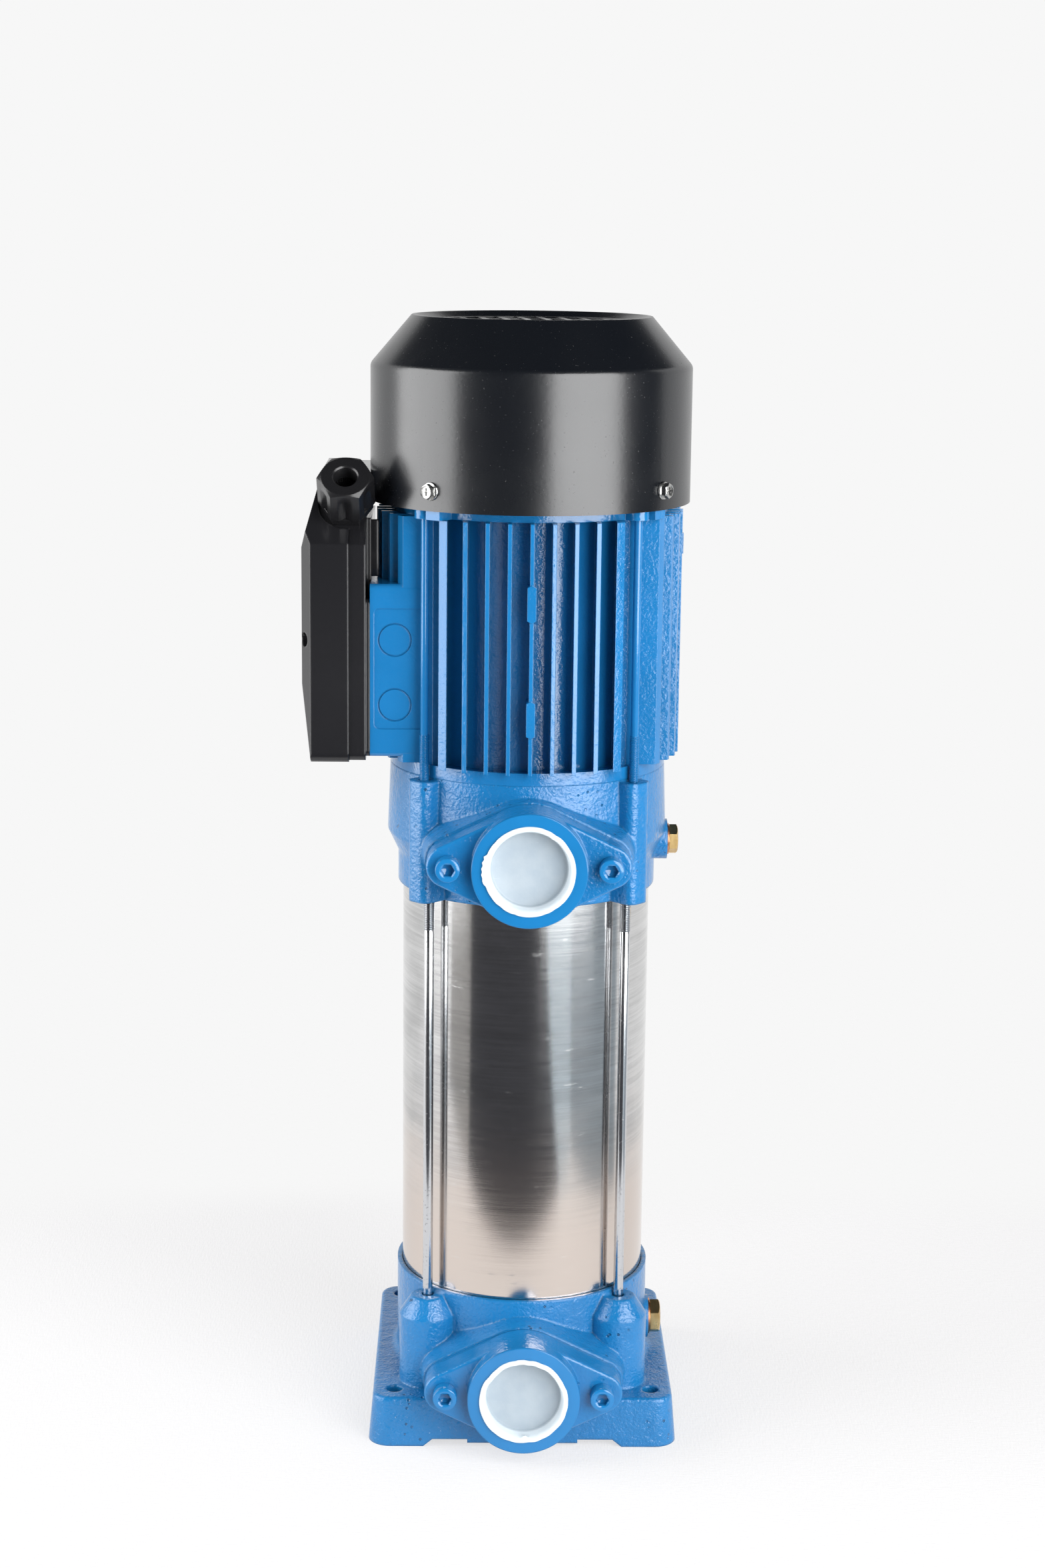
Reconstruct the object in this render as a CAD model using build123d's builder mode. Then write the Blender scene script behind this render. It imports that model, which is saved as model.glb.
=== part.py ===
from build123d import *
import os
from math import cos, radians, sin, sqrt

os.makedirs("parts", exist_ok=True)

# Vertical multistage centrifugal pump. Millimetres, +Z up, origin at the centre
# of the base's underside. The two ports face -Y and the terminal box faces -X.

# Fits shared by several pieces
slip_gap = 0.3
seat_gap = 0.05
running_gap = 0.05
quarter_turn = 45.0
shaft_chamfer = 0.5

# Outer sleeve of the pump
sleeve_od = 135.0
sleeve_wall = 1.5
sleeve_showing = 220.5
sleeve_gasket_thickness = 2.0
sleeve_seat_depth = 8.0
rim_wall = 2.5

# Base casting and its foot plate
plate_length = 168.0
plate_width = 163.4
plate_height = 27.0
plate_corner = 12.0
plate_web = 10.0
plate_skirt = 8.0
plate_draft = 5.0
plate_edge_round = 2.0
foot_length = 30.0
foot_lift = 4.0
foot_slope = 5.0
skirt_lift = 2.0
anchor_span_x = 140.0
anchor_span_y = 134.0
anchor_bore = 9.0
anchor_boss_radius = 9.0
base_height = 79.2
base_chamber_radius = 50.0
base_chamber_floor = 12.0
bowl_wall = 8.0
body_cove = 4.0
rod_lug_radius = 15.5
rod_lug_top_radius = 9.0
rod_lug_round = 2.0
rod_lug_height = 76.3
rod_lug_shoulder = 10.0

# Ports and their oval counter-flanges
suction_height = 38.5
discharge_height = 328.4
pad_reach = 81.5
pad_margin = 1.0
pad_draft = 6.0
pad_depth = 32.0
port_bore = 38.0
flange_gasket_thickness = 1.5
flange_thickness = 16.0
flange_screw_span = 84.0
flange_ear_radius = 11.2
flange_waist_radius = 29.5
flange_edge_round = 1.5
collar_od = 60.0
collar_height = 9.0
port_thread_bore = 39.0
mouth_bore = 42.6
mouth_depth = 12.0
flange_screw_size = 8.0
flange_screw_head_od = 13.0
flange_screw_head_height = 8.0
flange_screw_hex = 6.0
flange_screw_grip = 15.0
flange_screw_clearance = 0.5
flange_screw_round = 0.8

# Push-in port caps
cap_rim_od = 47.5
cap_rim_thickness = 1.6
cap_rim_round = 0.5
cap_wall = 1.0
cap_depth = 9.0
cap_floor = 1.5

# Tie rods between base and head
rod_circle_radius = 74.0
rod_shank_od = 5.3
rod_thread_od = 6.0
rod_thread_length = 17.0
rod_head_entry = 20.0
rod_nut_across_flats = 10.0
rod_nut_height = 6.0
rod_nut_flange_od = 14.0
rod_nut_flange_thickness = 1.6
rod_end_showing = 2.0

# Head casting
head_height = 66.3
head_neck_radius = 70.2
head_neck_height = 16.5
head_cone_height = 12.0
head_shoulder_radius = 76.0
head_top_radius = 74.6
head_edge_round = 3.0
head_lug_width = 15.0
head_lug_cover = 6.5
head_lug_round = 5.0
head_lug_drop = 1.0
head_chamber_radius = 58.0
head_chamber_roof = 41.0
head_dry_pocket_radius = 55.0
head_dry_pocket_depth = 13.0
bearing_hub_wall = 6.0
register_height = 3.0
register_wall = 4.0

# Brass plugs
vent_height = 321.5
vent_boss_od = 22.0
vent_boss_reach = 77.0
vent_hex = 14.0
vent_head_thickness = 5.0
vent_thread_od = 13.0
drain_height = 42.0
drain_boss_od = 24.0
drain_boss_reach = 72.0
drain_hex = 17.0
drain_head_thickness = 6.0
drain_thread_od = 16.5
plug_thread_length = 9.0
plug_washer_thickness = 1.0
plug_washer_margin = 1.5

# Hydraulic stages
stage_count = 5
stage_pitch = 38.0
stage_wall = 2.0
stage_floor = 2.0
stage_outer_radius = 62.0
inlet_disc_thickness = 3.0
inlet_eye_radius = 24.0
inlet_hub_radius = 12.5
inlet_hub_height = 9.0
inlet_hub_drop = 2.0
inlet_arm_width = 6.0
inlet_arm_count = 3
bush_wall = 3.0
impeller_radius = 50.0
impeller_lift = 5.0
impeller_shroud = 1.6
impeller_passage = 6.0
impeller_neck_radius = 22.0
impeller_neck_wall = 2.0
impeller_hub_radius = 11.0
impeller_hub_height = 12.0
blade_count = 6
blade_thickness = 1.8
blade_inner_radius = 19.0
blade_sweep = 70.0
neck_clearance = 0.5
diffuser_disc_height = 19.0
diffuser_disc_thickness = 2.0
diffuser_disc_radius = 55.0
diffuser_bore_clearance = 1.0
diffuser_vane_count = 6
diffuser_vane_thickness = 2.0
diffuser_vane_inner_radius = 51.5
return_vane_inner_radius = 24.0
return_vane_sweep = 60.0
spacer_wall = 3.0
impeller_nut_hex = 19.0
impeller_nut_height = 8.0
discharge_disc_thickness = 2.0
discharge_window_radius = 35.0
discharge_window_od = 18.0
discharge_window_count = 6

# Shaft, seal and bearings
pump_shaft_od = 14.0
bearing_bore = 17.0
lower_bearing_od = 40.0
lower_bearing_width = 12.0
upper_bearing_od = 35.0
upper_bearing_width = 11.0
rotor_seat_od = 22.0
fan_seat_od = 14.0
race_wall = 3.5
seal_seat_od = 30.0
seal_seat_thickness = 6.0
seal_face_od = 26.0
seal_face_thickness = 5.0
seal_plate_thickness = 1.6
seal_spring_length = 14.0
seal_spring_turns = 4
seal_spring_wire = 1.6
shaft_passage = 1.0
shaft_end_below_nut = 3.0
shaft_above_fan = 3.0

# Motor housing
motor_bore_radius = 61.2
motor_shell_radius = 67.5
motor_flange_height = 6.7
fin_length = 130.3
fin_tip_gap = 3.4
fin_pitch = 11.4
fin_count = 9
fin_tip_thickness = 2.0
fin_root_thickness = 4.4
end_fin_thickness = 4.2
fin_pad_width = 4.6
fin_pad_height = 19.0
fin_pad_upper = 89.5
fin_pad_lower = 29.5
fin_pad_proud = 0.5
side_pad_height = 11.0
side_pad_lift = 112.0
pedestal_reach = 84.0
pedestal_proud = 0.3
pedestal_height = 91.7
pedestal_lift = 9.6
pedestal_round = 3.0
pedestal_pocket_depth = 14.0
pedestal_wall = 9.0
knockout_radius = 8.9
knockout_groove = 0.8
knockout_offset = 13.0
knockout_upper = 62.4
knockout_lower = 27.9
panel_sink = 0.6
panel_bottom = 15.0
panel_height = 64.0
panel_length = 28.0

# Motor core
core_length = 90.0
core_lift = 24.0
stator_inner_radius = 35.2
air_gap = 0.4
winding_inner_radius = 38.0
winding_outer_radius = 56.0
winding_height = 14.0
winding_round = 5.0
end_ring_height = 8.0
end_ring_inner_radius = 22.0

# Fan end shield, through bolts and fan
shield_thickness = 6.0
shield_radius = 74.0
shield_spigot = 4.0
bearing_hub_reach = 13.0
bolt_inset = 7.4
bolt_clearance = 3.8
bolt_ear_radius = 5.5
bolt_shank_od = 4.2
bolt_thread_od = 5.3
bolt_thread_showing = 24.0
bolt_entry = 15.0
bolt_head_hex = 8.0
bolt_head_height = 3.5
cover_screw_turn = 7.5
cover_screw_height = 518.0
cover_post_width = 9.0
cover_post_height = 16.0
cover_post_inner = 70.0
fan_radius = 70.0
fan_height = 534.0
fan_disc_thickness = 2.5
fan_blade_height = 24.0
fan_blade_thickness = 2.0
fan_blade_count = 9
fan_hub_radius = 15.0
fan_hub_height = 20.0

# Fan cover
cover_radius = 85.4
cover_wall = 1.2
cover_gap_above_fins = 4.8
cover_cylinder = 71.4
cover_cone = 25.5
cover_top_radius = 63.7
cover_lip = 3.0
cover_shoulder_round = 5.0
cover_rim_round = 0.8
cover_lip_wall = 1.8
dish_rim = 56.5
dish_round = 2.5
grille_radius = 53.0
grille_pitch = 10.9
grille_bars = 9
grille_bar_width = 3.3
grille_ring_radius = 32.5
grille_ring_width = 2.4
grille_hub_radius = 12.0
grille_hub_width = 3.0
cover_screw_od = 4.0
cover_screw_head_hex = 7.0
cover_screw_flange_od = 9.5
cover_screw_flange_thickness = 1.0
cover_screw_head_height = 3.2
cover_screw_length = 10.0

# Terminal box
box_stand = 2.2
box_stand_drop = 8.0
box_spine_width = 60.0
box_spine_top = 500.0
box_depth = 8.8
box_width = 100.0
box_bottom_drop = 2.1
box_height = 149.7
box_wall = 2.0
box_corner = 4.0
box_slope = 35.0
lid_depth = 20.0
lid_margin = 1.0
lid_panel_rise = 5.0
lid_panel_bottom = 40.0
lid_panel_top = 112.0
lid_top_fall = 5.0
lid_wall = 2.5
lid_screw_od = 4.0
lid_screw_head_od = 7.0
lid_screw_head_height = 2.6
lid_screw_recess = 6.5
lid_screw_inset = 6.0
lid_screw_drop = 11.0
lid_boss_radius = 5.0
terminal_block_length = 46.0
terminal_block_width = 24.0
terminal_block_height = 9.0
terminal_stud_pitch = 12.0
terminal_stud_radius = 2.5
terminal_stud_height = 7.0
capacitor_radius = 13.0
capacitor_length = 62.0
capacitor_round = 1.5

# Cable gland
gland_rise = 1.5
terminal_block_drop = 37.0
gland_thread_od = 20.0
gland_stem_od = 16.0
gland_collar_hex = 24.0
gland_collar_thickness = 4.0
gland_nut_across_corners = 30.0
gland_nut_length = 21.0
gland_nut_bore = 13.0
gland_nut_wall = 2.6
gland_nut_dome = 4.0
gland_stem_length = 13.0
gland_neck_length = 10.0
gland_neck_step = 1.0
gland_tab_radius = 14.5

# Heights and radii that follow from the sizes above
sleeve_radius = sleeve_od / 2
sleeve_inner_radius = sleeve_radius - sleeve_wall
sleeve_socket_radius = sleeve_radius + slip_gap
base_rim_radius = sleeve_socket_radius + rim_wall
base_seat = base_height - sleeve_seat_depth
head_bottom = base_height + sleeve_showing
head_seat = head_bottom + sleeve_seat_depth
head_top = head_bottom + head_height
sleeve_bottom = base_seat + sleeve_gasket_thickness
sleeve_top = head_seat - sleeve_gasket_thickness
pocket_roof = plate_height - plate_web
stack_bottom = base_seat + inlet_disc_thickness
stack_top = stack_bottom + stage_count * stage_pitch
fin_tip_radius = cover_radius - fin_tip_gap
bolt_circle_radius = cover_radius - bolt_inset
head_lug_reach = bolt_circle_radius + head_lug_cover
motor_corner_span = sqrt(2) * (bolt_circle_radius - bolt_shank_od / 2 - bolt_clearance)
end_fin_place = fin_pitch * (fin_count - 1) / 2
pedestal_width = 2 * end_fin_place + end_fin_thickness + 2 * pedestal_proud
fin_bottom = head_top + motor_flange_height
fin_top = fin_bottom + fin_length
flange_back = pad_reach + flange_gasket_thickness
flange_front = flange_back + flange_thickness
collar_front = flange_front + collar_height
pump_shaft_radius = pump_shaft_od / 2
core_bottom = head_top + core_lift
core_top = core_bottom + core_length
lower_bearing_bottom = head_top - lower_bearing_width
upper_bearing_top = fin_top
upper_bearing_bottom = upper_bearing_top - upper_bearing_width
shield_top = fin_top + shield_thickness
cover_bottom = fin_top + cover_gap_above_fins
cover_shoulder = cover_bottom + cover_cylinder
cover_top = cover_shoulder + cover_cone
sine = sin(radians(quarter_turn))


def port_plane(reach, height):
    """A plane that faces the front at a distance from the pump's axis."""
    return Plane((0, -reach, height), x_dir=(1, 0, 0), z_dir=(0, -1, 0))


def diagonal_plane(angle, height=0.0):
    """A plane that faces outwards at an angle round the pump's axis."""
    out = (cos(radians(angle)), sin(radians(angle)), 0)
    return Plane((0, 0, height), x_dir=(-out[1], out[0], 0), z_dir=out)


# Base casting: a hollow foot plate, a round suction chamber, four tie-rod lugs
# and an oval port pad, all cast in one piece of iron.
with BuildPart() as base_casting:
    with BuildSketch(Plane.XY):
        RectangleRounded(plate_length, plate_width, plate_corner)
    extrude(amount=plate_height, taper=plate_draft)
    fillet(base_casting.faces().sort_by(Axis.Z)[-1].edges(), plate_edge_round)
    with BuildSketch(Plane.XY):
        RectangleRounded(
            plate_length - 2 * plate_skirt, plate_width - 2 * plate_skirt, plate_corner - plate_skirt / 2
        )
    extrude(amount=pocket_roof, mode=Mode.SUBTRACT)
    with BuildSketch(Plane.XY):
        with GridLocations(anchor_span_x, anchor_span_y, 2, 2):
            Circle(anchor_boss_radius)
    extrude(amount=plate_height - plate_edge_round)
    with BuildSketch(Plane.XY.offset(pocket_roof)):
        Circle(base_rim_radius)
    extrude(amount=base_height - pocket_roof)
    body_foot = base_casting.edges().filter_by(GeomType.CIRCLE).filter_by_position(
        Axis.Z, plate_height - seat_gap, plate_height + seat_gap
    ).sort_by(SortBy.RADIUS)[-1]
    fillet(body_foot, body_cove)
    with BuildSketch(Plane.XY.offset(foot_lift)):
        Circle(base_chamber_radius + bowl_wall)
    extrude(amount=plate_height - foot_lift)
    with PolarLocations(rod_circle_radius, 4, start_angle=quarter_turn):
        with Locations((0, 0, pocket_roof)):
            Cylinder(
                rod_lug_radius,
                rod_lug_height - rod_lug_shoulder - pocket_roof,
                align=(Align.CENTER, Align.CENTER, Align.MIN),
            )
        with Locations((0, 0, rod_lug_height - rod_lug_shoulder)):
            Cone(
                rod_lug_radius,
                rod_lug_top_radius,
                rod_lug_shoulder,
                align=(Align.CENTER, Align.CENTER, Align.MIN),
            )
    lug_rims = base_casting.edges().filter_by(GeomType.CIRCLE).filter_by_position(
        Axis.Z, rod_lug_height - seat_gap, rod_lug_height + seat_gap
    )
    fillet(lug_rims, rod_lug_round)
    with BuildSketch(port_plane(pad_reach, suction_height)):
        with GridLocations(flange_screw_span, 0, 2, 1):
            Circle(flange_ear_radius + pad_margin)
        Circle(flange_waist_radius + pad_margin)
        make_hull()
    extrude(amount=-pad_depth, taper=-pad_draft)
    with BuildSketch(port_plane(pad_reach, suction_height)):
        with Locations((0, (skirt_lift - suction_height) / 2)):
            Rectangle(collar_od, suction_height - skirt_lift)
    extrude(amount=-pad_depth)
    with BuildSketch(Plane.YZ.offset(base_chamber_radius)):
        with Locations((0, drain_height)):
            Circle(drain_boss_od / 2)
    extrude(amount=drain_boss_reach - base_chamber_radius)
    with BuildSketch(Plane.XY.offset(base_chamber_floor)):
        Circle(base_chamber_radius)
    extrude(amount=base_height - base_chamber_floor, mode=Mode.SUBTRACT)
    with BuildSketch(Plane.XY.offset(base_seat)):
        Circle(sleeve_socket_radius)
    extrude(amount=sleeve_seat_depth, mode=Mode.SUBTRACT)
    with BuildSketch(port_plane(pad_reach, suction_height)):
        Circle(port_bore / 2)
    extrude(amount=-(pad_reach - base_chamber_radius + pad_depth / 2), mode=Mode.SUBTRACT)
    with BuildSketch(port_plane(pad_reach, suction_height)):
        with GridLocations(flange_screw_span, 0, 2, 1):
            Circle(flange_screw_size / 2 + seat_gap)
    extrude(amount=-flange_screw_grip, mode=Mode.SUBTRACT)
    with BuildSketch(Plane.YZ.offset(drain_boss_reach)):
        with Locations((0, drain_height)):
            Circle(drain_thread_od / 2 + seat_gap)
    extrude(amount=-(drain_boss_reach - base_chamber_radius + bowl_wall), mode=Mode.SUBTRACT)
    with BuildSketch(Plane.XY):
        with PolarLocations(rod_circle_radius, 4, start_angle=quarter_turn):
            Circle(rod_thread_od / 2 + slip_gap)
        with GridLocations(anchor_span_x, anchor_span_y, 2, 2):
            Circle(anchor_bore / 2)
    extrude(amount=base_height, mode=Mode.SUBTRACT)
    arch_half = plate_length / 2 - foot_length
    with BuildSketch(Plane.XZ.offset(-plate_width / 2)):
        with BuildLine():
            Polyline(
                (-arch_half, 0),
                (-arch_half + foot_slope, foot_lift),
                (-collar_od / 2, foot_lift),
                (-collar_od / 2, skirt_lift),
                (collar_od / 2, skirt_lift),
                (collar_od / 2, foot_lift),
                (arch_half - foot_slope, foot_lift),
                (arch_half, 0),
                close=True,
            )
        make_face()
    extrude(amount=plate_width, mode=Mode.SUBTRACT)
    side_arch_half = plate_width / 2 - foot_length
    with BuildSketch(Plane.YZ.offset(-plate_length / 2)):
        with BuildLine():
            Polyline(
                (-side_arch_half, 0),
                (-side_arch_half + foot_slope, foot_lift),
                (side_arch_half - foot_slope, foot_lift),
                (side_arch_half, 0),
                close=True,
            )
        make_face()
    extrude(amount=plate_length, mode=Mode.SUBTRACT)
base_casting.part.label = "base_casting"
export_step(base_casting.part, "parts/base_casting.step")

# Outer sleeve: a thin stainless tube clamped between base and head.
with BuildPart() as outer_sleeve:
    with BuildSketch(Plane.XY.offset(sleeve_bottom)):
        Circle(sleeve_radius)
        Circle(sleeve_inner_radius, mode=Mode.SUBTRACT)
    extrude(amount=sleeve_top - sleeve_bottom)
outer_sleeve.part.label = "outer_sleeve"
export_step(outer_sleeve.part, "parts/outer_sleeve.step")

# Flat rubber rings under and over the sleeve.
with BuildPart() as sleeve_gaskets:
    for gasket_bottom in (base_seat, sleeve_top):
        with BuildSketch(Plane.XY.offset(gasket_bottom)):
            Circle(sleeve_radius)
            Circle(stage_outer_radius + slip_gap, mode=Mode.SUBTRACT)
        extrude(amount=sleeve_gasket_thickness)
sleeve_gaskets.part.label = "sleeve_gaskets"
export_step(sleeve_gaskets.part, "parts/sleeve_gaskets.step")

# Tie rods: plain chrome shanks with a thread at each end.
rod_bottom = pocket_roof - rod_nut_height - rod_end_showing
with BuildPart() as tie_rods:
    with BuildSketch(Plane.XY.offset(rod_bottom)):
        with PolarLocations(rod_circle_radius, 4, start_angle=quarter_turn):
            Circle(rod_thread_od / 2)
    extrude(amount=rod_lug_height - rod_lug_shoulder - rod_bottom)
    with BuildSketch(Plane.XY.offset(rod_lug_height - rod_lug_shoulder)):
        with PolarLocations(rod_circle_radius, 4, start_angle=quarter_turn):
            Circle(rod_shank_od / 2)
    extrude(amount=head_bottom - rod_thread_length - rod_lug_height + rod_lug_shoulder)
    with BuildSketch(Plane.XY.offset(head_bottom - rod_thread_length)):
        with PolarLocations(rod_circle_radius, 4, start_angle=quarter_turn):
            Circle(rod_thread_od / 2)
    extrude(amount=rod_thread_length + rod_head_entry)
tie_rods.part.label = "tie_rods"
export_step(tie_rods.part, "parts/tie_rods.step")

# Flange nuts under the foot plate that tighten the tie rods.
with BuildPart() as tie_rod_nuts:
    with BuildSketch(Plane.XY.offset(pocket_roof - rod_nut_flange_thickness)):
        with PolarLocations(rod_circle_radius, 4, start_angle=quarter_turn):
            Circle(rod_nut_flange_od / 2)
    extrude(amount=rod_nut_flange_thickness)
    with BuildSketch(Plane.XY.offset(pocket_roof - rod_nut_height)):
        with PolarLocations(rod_circle_radius, 4, start_angle=quarter_turn):
            RegularPolygon(rod_nut_across_flats / 2, 6, major_radius=False)
    extrude(amount=rod_nut_height)
    with BuildSketch(Plane.XY.offset(pocket_roof - rod_nut_height)):
        with PolarLocations(rod_circle_radius, 4, start_angle=quarter_turn):
            Circle(rod_thread_od / 2 + seat_gap)
    extrude(amount=rod_nut_height, mode=Mode.SUBTRACT)
tie_rod_nuts.part.label = "tie_rod_nuts"
export_step(tie_rod_nuts.part, "parts/tie_rod_nuts.step")

# Head casting: delivery chamber below, motor seat above, with four bolt lugs
# and the same oval port pad as the base.
shoulder_height = head_bottom + head_neck_height + head_cone_height
lug_top = head_top - head_lug_drop
bearing_bore_radius = lower_bearing_od / 2 + seat_gap
with BuildPart() as head_casting:
    with BuildSketch(Plane.XZ):
        with BuildLine():
            Polyline(
                (0, head_bottom),
                (head_neck_radius, head_bottom),
                (head_neck_radius, head_bottom + head_neck_height),
                (head_shoulder_radius, shoulder_height),
                (head_top_radius, head_top),
                (0, head_top),
                close=True,
            )
        make_face()
    revolve(axis=Axis.Z)
    step_edges = head_casting.edges().filter_by(GeomType.CIRCLE).filter_by_position(
        Axis.Z, head_bottom + seat_gap, head_top - seat_gap
    )
    fillet(step_edges, head_edge_round)
    with BuildSketch(Plane.XY.offset(head_bottom)):
        with PolarLocations(head_lug_reach / 2, 4, start_angle=quarter_turn):
            Rectangle(head_lug_reach, head_lug_width)
    extrude(amount=lug_top - head_bottom)
    lug_edges = head_casting.edges().filter_by(Axis.Z).group_by(
        lambda e: round(sqrt(e.center().X ** 2 + e.center().Y ** 2))
    )[-1]
    fillet(lug_edges, head_lug_round)
    with BuildSketch(port_plane(pad_reach, discharge_height)):
        with GridLocations(flange_screw_span, 0, 2, 1):
            Circle(flange_ear_radius + pad_margin)
        Circle(flange_waist_radius + pad_margin)
        make_hull()
    extrude(amount=-pad_depth, taper=-pad_draft)
    with BuildSketch(Plane.YZ.offset(head_chamber_radius)):
        with Locations((0, vent_height)):
            Circle(vent_boss_od / 2)
    extrude(amount=vent_boss_reach - head_chamber_radius)
    with BuildSketch(Plane.XY.offset(head_seat)):
        Circle(sleeve_socket_radius)
    extrude(amount=-(sleeve_seat_depth + pad_depth), mode=Mode.SUBTRACT)
    with BuildSketch(Plane.XZ):
        with BuildLine():
            Polyline(
                (0, head_bottom),
                (head_chamber_radius, head_bottom),
                (head_chamber_radius, head_bottom + head_chamber_roof - head_edge_round),
                (head_chamber_radius - head_edge_round, head_bottom + head_chamber_roof),
                (0, head_bottom + head_chamber_roof),
                close=True,
            )
        make_face()
    revolve(axis=Axis.Z, mode=Mode.SUBTRACT)
    with BuildSketch(Plane.XY.offset(head_top - head_dry_pocket_depth)):
        Circle(head_dry_pocket_radius)
        Circle(bearing_bore_radius + bearing_hub_wall, mode=Mode.SUBTRACT)
    extrude(amount=head_dry_pocket_depth, mode=Mode.SUBTRACT)
    with BuildSketch(Plane.XY.offset(lower_bearing_bottom)):
        Circle(bearing_bore_radius)
    extrude(amount=head_top - lower_bearing_bottom, mode=Mode.SUBTRACT)
    with BuildSketch(Plane.XY.offset(head_bottom + head_chamber_roof)):
        Circle(seal_seat_od / 2 + seat_gap)
    extrude(amount=seal_seat_thickness, mode=Mode.SUBTRACT)
    with BuildSketch(Plane.XY.offset(head_bottom)):
        Circle(bearing_bore / 2 + shaft_passage)
    extrude(amount=head_height, mode=Mode.SUBTRACT)
    with BuildSketch(Plane.XY.offset(head_top)):
        Circle(motor_bore_radius - slip_gap)
        Circle(motor_bore_radius - slip_gap - register_wall, mode=Mode.SUBTRACT)
    extrude(amount=register_height)
    with BuildSketch(port_plane(pad_reach, discharge_height)):
        Circle(port_bore / 2)
    extrude(amount=-(pad_reach - head_chamber_radius + pad_depth / 2), mode=Mode.SUBTRACT)
    with BuildSketch(port_plane(pad_reach, discharge_height)):
        with GridLocations(flange_screw_span, 0, 2, 1):
            Circle(flange_screw_size / 2 + seat_gap)
    extrude(amount=-flange_screw_grip, mode=Mode.SUBTRACT)
    with BuildSketch(Plane.YZ.offset(vent_boss_reach)):
        with Locations((0, vent_height)):
            Circle(vent_thread_od / 2 + seat_gap)
    extrude(amount=-(vent_boss_reach - head_chamber_radius + bowl_wall), mode=Mode.SUBTRACT)
    with BuildSketch(Plane.XY.offset(head_bottom)):
        with PolarLocations(rod_circle_radius, 4, start_angle=quarter_turn):
            Circle(rod_thread_od / 2 + seat_gap)
    extrude(amount=rod_head_entry, mode=Mode.SUBTRACT)
    with BuildSketch(Plane.XY.offset(lug_top)):
        with PolarLocations(bolt_circle_radius, 4, start_angle=quarter_turn):
            Circle(bolt_thread_od / 2 + seat_gap)
    extrude(amount=-bolt_entry, mode=Mode.SUBTRACT)
head_casting.part.label = "head_casting"
export_step(head_casting.part, "parts/head_casting.step")

# Both ports carry the same parts: a gasket, an oval counter-flange with a
# threaded collar, two socket screws and a push-in plastic cap.
port_heights = (suction_height, discharge_height)
for name, port_height in zip(("suction", "discharge"), port_heights):
    with BuildPart() as port_flange:
        with BuildSketch(port_plane(flange_back, port_height)):
            with GridLocations(flange_screw_span, 0, 2, 1):
                Circle(flange_ear_radius)
            Circle(flange_waist_radius)
            make_hull()
        extrude(amount=flange_thickness)
        fillet(port_flange.faces().sort_by(Axis.Y)[0].edges(), flange_edge_round)
        with BuildSketch(port_plane(flange_back, port_height)):
            Circle(collar_od / 2)
        extrude(amount=flange_thickness + collar_height)
        with BuildSketch(port_plane(flange_back, port_height)):
            Circle(port_thread_bore / 2)
        extrude(amount=flange_thickness + collar_height, mode=Mode.SUBTRACT)
        with BuildSketch(port_plane(collar_front, port_height)):
            Circle(mouth_bore / 2)
        extrude(amount=-mouth_depth, mode=Mode.SUBTRACT)
        with BuildSketch(port_plane(flange_back, port_height)):
            with GridLocations(flange_screw_span, 0, 2, 1):
                Circle(flange_screw_size / 2 + flange_screw_clearance)
        extrude(amount=flange_thickness, mode=Mode.SUBTRACT)
    port_flange.part.label = f"{name}_flange"
    export_step(port_flange.part, f"parts/{name}_flange.step")

    with BuildPart() as port_cap:
        with BuildSketch(port_plane(collar_front, port_height)):
            Circle(cap_rim_od / 2)
        extrude(amount=cap_rim_thickness)
        fillet(port_cap.faces().sort_by(Axis.Y)[0].edges(), cap_rim_round)
        with BuildSketch(port_plane(collar_front, port_height)):
            Circle(mouth_bore / 2 - slip_gap)
        extrude(amount=-cap_depth)
        with BuildSketch(port_plane(collar_front + cap_rim_thickness, port_height)):
            Circle(mouth_bore / 2 - slip_gap - cap_wall)
        extrude(amount=-(cap_depth + cap_rim_thickness - cap_floor), mode=Mode.SUBTRACT)
    port_cap.part.label = f"{name}_cap"
    export_step(port_cap.part, f"parts/{name}_cap.step")

with BuildPart() as flange_gaskets:
    for port_height in port_heights:
        with BuildSketch(port_plane(pad_reach, port_height)):
            with GridLocations(flange_screw_span, 0, 2, 1):
                Circle(flange_ear_radius)
            Circle(flange_waist_radius)
            make_hull()
            Circle(port_bore / 2, mode=Mode.SUBTRACT)
            with GridLocations(flange_screw_span, 0, 2, 1):
                Circle(flange_screw_size / 2 + flange_screw_clearance, mode=Mode.SUBTRACT)
        extrude(amount=flange_gasket_thickness)
flange_gaskets.part.label = "flange_gaskets"
export_step(flange_gaskets.part, "parts/flange_gaskets.step")

with BuildPart() as flange_screws:
    for port_height in port_heights:
        with BuildSketch(port_plane(pad_reach - flange_screw_grip, port_height)):
            with GridLocations(flange_screw_span, 0, 2, 1):
                Circle(flange_screw_size / 2)
        extrude(amount=flange_screw_grip + flange_gasket_thickness + flange_thickness)
        with BuildSketch(port_plane(flange_front, port_height)):
            with GridLocations(flange_screw_span, 0, 2, 1):
                Circle(flange_screw_head_od / 2)
        extrude(amount=flange_screw_head_height)
        with BuildSketch(port_plane(flange_front + flange_screw_head_height, port_height)):
            with GridLocations(flange_screw_span, 0, 2, 1):
                RegularPolygon(flange_screw_hex / 2, 6, major_radius=False)
        extrude(amount=-flange_screw_head_height / 2, mode=Mode.SUBTRACT)
    fillet(
        flange_screws.edges().filter_by(GeomType.CIRCLE).group_by(Axis.Y)[0],
        flange_screw_round,
    )
flange_screws.part.label = "flange_screws"
export_step(flange_screws.part, "parts/flange_screws.step")

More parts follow.
